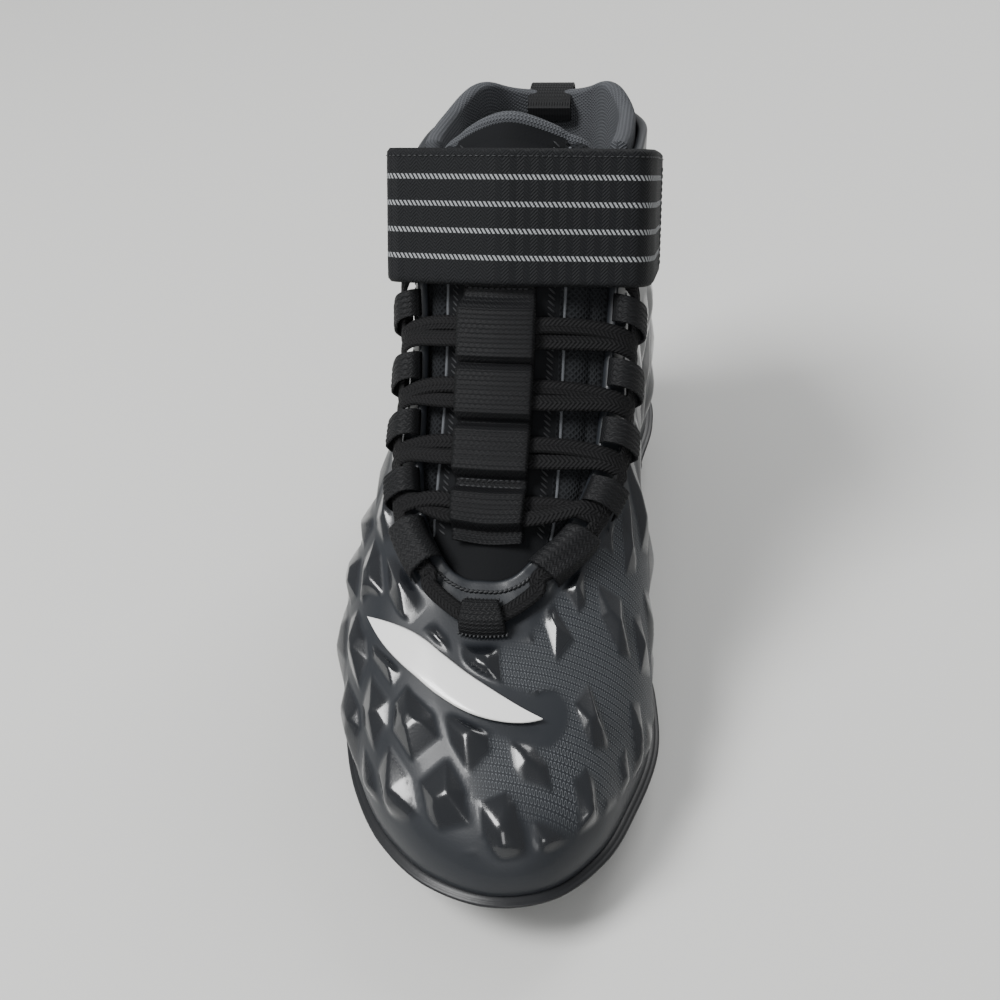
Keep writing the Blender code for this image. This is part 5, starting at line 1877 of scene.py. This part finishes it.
        ribbed = profile[:, 1] + self.loop_rib_height * wave(lengths(profile) / self.vamp_rib)
        points = section.grid(110, locate, ribbed)
        piece = Mould().grid(points, section.chart(lengths(profile), points))
        piece.make("vamp_webbing", finishes.webbing, WEBBING, ("vamp_loop",))
        thread = Mould()
        reach = 1.22 * float(profile[-1, 0]) / self.legs[-1]
        for sign in (-1, 1):
            turns = np.linspace(-0.55, 0.55, 24) * self.vamp_loop_width / turn_length
            climbs = np.full(24, self.vamp_climb + sign * reach / climb_length)
            line = LAST.over(turns, climbs, np.full(24, low + 0.0007))
            thread.add(*stitches(line, LAST.normal(turns, climbs), 0.0013, 0.0017, 0.00042, 75.0))
        thread.make("vamp_loop_stitches", finishes.thread, THREAD)

    def build_edge_stitches(self, finishes: Finishes) -> None:
        """A thick row round the throat's front edge and a fine row up both eyestays.

        Args:
            finishes: the materials.
        """
        mould = Mould()
        front = np.linspace(LAST.rib_turn(4.6, -1) - 1.0, LAST.rib_turn(4.6, 1), 160)
        climbs = np.full(160, self.front_climb)
        line = LAST.over(front, climbs, np.full(160, 0.0004))
        mould.add(*stitches(line, LAST.normal(front, climbs), 0.0016, 0.0022, 0.00050, 20.0))
        for hand in (Side.LATERAL, Side.MEDIAL):
            turns = LAST.rib_turn(np.linspace(4.7, 9.6, 240), hand.value)
            climbs = np.full(240, self.eyestay_climb)
            line = LAST.over(turns, climbs, np.full(240, self.eyestay + 0.0001))
            mould.add(*stitches(line, LAST.normal(turns, climbs), 0.0024, 0.0017, 0.00028))
        mould.make("edge_stitches", finishes.thread, THREAD)

    def build(self, finishes: Finishes) -> None:
        """Builds the strip, the loops, the lace and their stitches.

        Args:
            finishes: the materials.
        """
        self.build_keeper(finishes)
        self.build_loops(finishes)
        self.build_vamp_loop(finishes)
        self.build_lace(finishes)
        self.build_edge_stitches(finishes)


@dataclass
class Strap:
    """The elastic strap, taut round the ankle."""

    width: float = 0.044
    thickness: float = 0.0020
    tilt: float = math.radians(28)
    level: float = 0.151
    station: float = 0.180
    reach: float = 0.078
    middle: float = 0.031
    ease: float = 0.0022
    stations: int = 360
    softening: int = 6
    directions: int = 1440
    margin: float = 0.004
    rim_at: float = 0.0205
    rim_width: float = 0.0006
    rim_height: float = 0.00022
    stitches_at: float = 0.0195
    sewn_height: tuple = (-0.019, 0.0175, 40)
    sewn_stations: tuple = (7, 22, -9, -24)

    def build(self, finishes: Finishes, wrapped: Sequence[str]) -> None:
        """Builds the band on the convex outline of what it wraps, and its stitched top line.

        Args:
            finishes: the materials.
            wrapped: the frame's nodes under the strap.
        """
        back = np.array([0.0, math.cos(self.tilt), -math.sin(self.tilt)])
        up = np.array([0.0, math.sin(self.tilt), math.cos(self.tilt)])
        centre = np.array([0.0, self.station, self.level]) + OFFSET
        seen = []
        for name in wrapped:
            mesh = bpy.data.objects[name].data
            flat = np.empty(len(mesh.vertices) * 3, np.float32)
            mesh.vertices.foreach_get("co", flat)
            place = flat.reshape(-1, 3) - centre
            place = place[np.abs(place @ up) < 0.5 * self.width + self.margin]
            seen.append(np.stack([place[:, 0], place @ back], axis=-1))
        seen = np.concatenate(seen) - np.array([0.0, self.middle])
        angle = np.linspace(-math.pi, math.pi, self.directions + 1)[:-1]
        facing = np.stack([np.sin(angle), -np.cos(angle)], axis=-1)
        outer = seen[(seen @ facing.T).argmax(axis=0)] + (0.5 * self.thickness + self.ease) * facing
        outer = outer[(outer[:, 1] + self.middle) < self.reach]
        start = int(np.argmax(np.linalg.norm(outer - np.roll(outer, 1, axis=0), axis=1)))
        outer = np.roll(outer, -start, axis=0)
        way = lengths(outer)
        even = np.linspace(0.0, way[-1], self.stations)
        path = np.stack([np.interp(even, way, outer[:, k]) for k in range(2)], axis=-1)
        span = 2 * self.softening + 1
        long = np.pad(path, ((self.softening, self.softening), (0, 0)), mode="reflect", reflect_type="odd")
        soft = np.stack([np.convolve(column, np.ones(span) / span, "valid") for column in long.T], axis=-1)
        line = centre + soft[:, :1] * [1.0, 0.0, 0.0] + (soft[:, 1:] + self.middle) * back
        away = unit(np.cross(unit(np.gradient(line, axis=0)), up))
        if float((away * (line - line.mean(axis=0))).sum()) < 0:
            away = -away
        side = np.broadcast_to(up, line.shape)
        section = Ribbon(self.width, self.thickness, 40, 16.0)
        points = section.grid(len(line), on_path(line, side, away), np.zeros(len(line)),
                              lambda x: self.rim_height * np.exp(
                                  -((np.abs(np.abs(x) - self.rim_at) / self.rim_width) ** 2)))
        band = Mould().grid(points, section.chart(lengths(line), points))
        band.make("elastic_band", finishes.elastic, ELASTIC, ("ankle_strap",))
        lift = 0.5 * self.thickness + 0.0001
        top = line + side * self.stitches_at + away * lift
        thread = Mould().add(*stitches(top, away, 0.0020, 0.0014, 0.00022))
        height = np.linspace(*self.sewn_height)[:, None]
        for first in self.sewn_stations:
            rows = slice(first, first + 2)
            spot, face = line[rows].mean(axis=0), unit(away[rows].mean(axis=0))
            row = spot + height * up + lift * face
            thread.add(*stitches(row, np.broadcast_to(face, row.shape), 0.0024, 0.0017, 0.00026))
        thread.make("band_stitches", finishes.thread, THREAD)


@dataclass
class Studio:
    """The camera at the photograph's angle, the pale floor and the soft lights."""

    eye: tuple = (0.08706, -0.37090, 0.38550)
    turn: float = 4.1
    pitch: float = 39.0
    pan: float = 7.5
    tip: float = 1.9
    focal: float = 50.4
    floor: float = 6.0
    lamps: tuple = (
        ("key", (-0.9, -0.5, 1.5), (0.0, 0.0, 0.05), 0.7, 44.0),
        ("front", (0.3, -1.6, 1.1), (0.0, -0.05, 0.05), 0.7, 9.0),
        ("back", (0.5, 1.3, 1.2), (0.0, 0.0, 0.08), 0.8, 16.0),
    )
    room_colour: tuple = (0.86, 0.87, 0.88, 1.0)
    room_light: float = 0.45
    floor_colour: tuple = (0.60, 0.60, 0.585)

    def build(self) -> None:
        """Sets the camera, the floor, the lights and the surroundings."""
        scene = bpy.context.scene
        turn, pitch = math.radians(self.turn), math.radians(self.pitch)
        level = math.cos(pitch)
        ahead = Vector((-math.sin(turn) * level, math.cos(turn) * level, -math.sin(pitch)))
        camera = bpy.data.objects.new("camera", bpy.data.cameras.new("camera"))
        camera.data.lens = self.focal
        camera.data.sensor_width = 36.0
        camera.data.clip_start = 0.01
        aim = ahead.to_track_quat("-Z", "Y").to_matrix().to_4x4()
        pan = Matrix.Rotation(math.radians(self.pan), 4, "Y")
        tip = Matrix.Rotation(-math.radians(self.tip), 4, "X")
        camera.matrix_world = Matrix.Translation(self.eye) @ aim @ pan @ tip
        scene.collection.objects.link(camera)
        scene.camera = camera
        self.build_floor()
        for lamp in self.lamps:
            self.light(*lamp)
        world = bpy.data.worlds.new("room")
        world.use_nodes = True
        background = world.node_tree.nodes["Background"]
        background.inputs["Color"].default_value = self.room_colour
        background.inputs["Strength"].default_value = self.room_light
        scene.world = world

    def light(self, name: str, place: tuple, target: tuple, size: float, power: float) -> None:
        """Adds a square area light.

        Args:
            name: its name.
            place: where it stands.
            target: what it faces.
            size: the length of its sides.
            power: its power in watts.
        """
        data = bpy.data.lights.new(name, "AREA")
        data.size = size
        data.energy = power
        lamp = bpy.data.objects.new(name, data)
        way = Vector(target) - Vector(place)
        lamp.matrix_world = Matrix.Translation(place) @ way.to_track_quat("-Z", "Y").to_matrix().to_4x4()
        bpy.context.scene.collection.objects.link(lamp)

    def build_floor(self) -> None:
        """A plain pale floor under the studs."""
        half = 0.5 * self.floor
        mesh = bpy.data.meshes.new("floor")
        corners = [(-half, -half, 0), (half, -half, 0), (half, half, 0), (-half, half, 0)]
        mesh.from_pydata(corners, [], [(0, 1, 2, 3)])
        shader = Shader(Finish("floor", "", self.floor_colour))
        shader.set("Roughness", shader.noise(8.0) * 0.1 + 0.5)
        mesh.materials.append(shader.material)
        ground = bpy.data.objects.new("floor", mesh)
        bpy.context.scene.collection.objects.link(ground)


def dress(node: bpy.types.Object, material: bpy.types.Material) -> None:
    """Gives every slot of a kept node one material."""
    for slot in node.material_slots:
        slot.material = material


def main() -> None:
    """Builds the boot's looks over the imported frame."""
    logging.basicConfig(level=logging.INFO)
    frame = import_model()
    finishes = Finishes()
    Studio().build()
    badge = Badge()
    Skin(badge).build(finishes)
    badge.build(finishes)
    Sole().build(finishes)
    Tongue().build(finishes)
    Collar().build(finishes)
    Lacing().build(finishes)
    loops = [f"{hand.name.lower()}_loop_{number}" for hand in Side for number in range(1, 6)]
    Strap().build(finishes, ["upper", "tongue", "lace", "lace_keeper", *loops])
    dress(frame["nodes"]["insole"], finishes.footbed)
    dress(frame["nodes"]["pull_tab"], finishes.tab)
    bpy.context.view_layer.update()


if __name__ == "__main__":
    main()
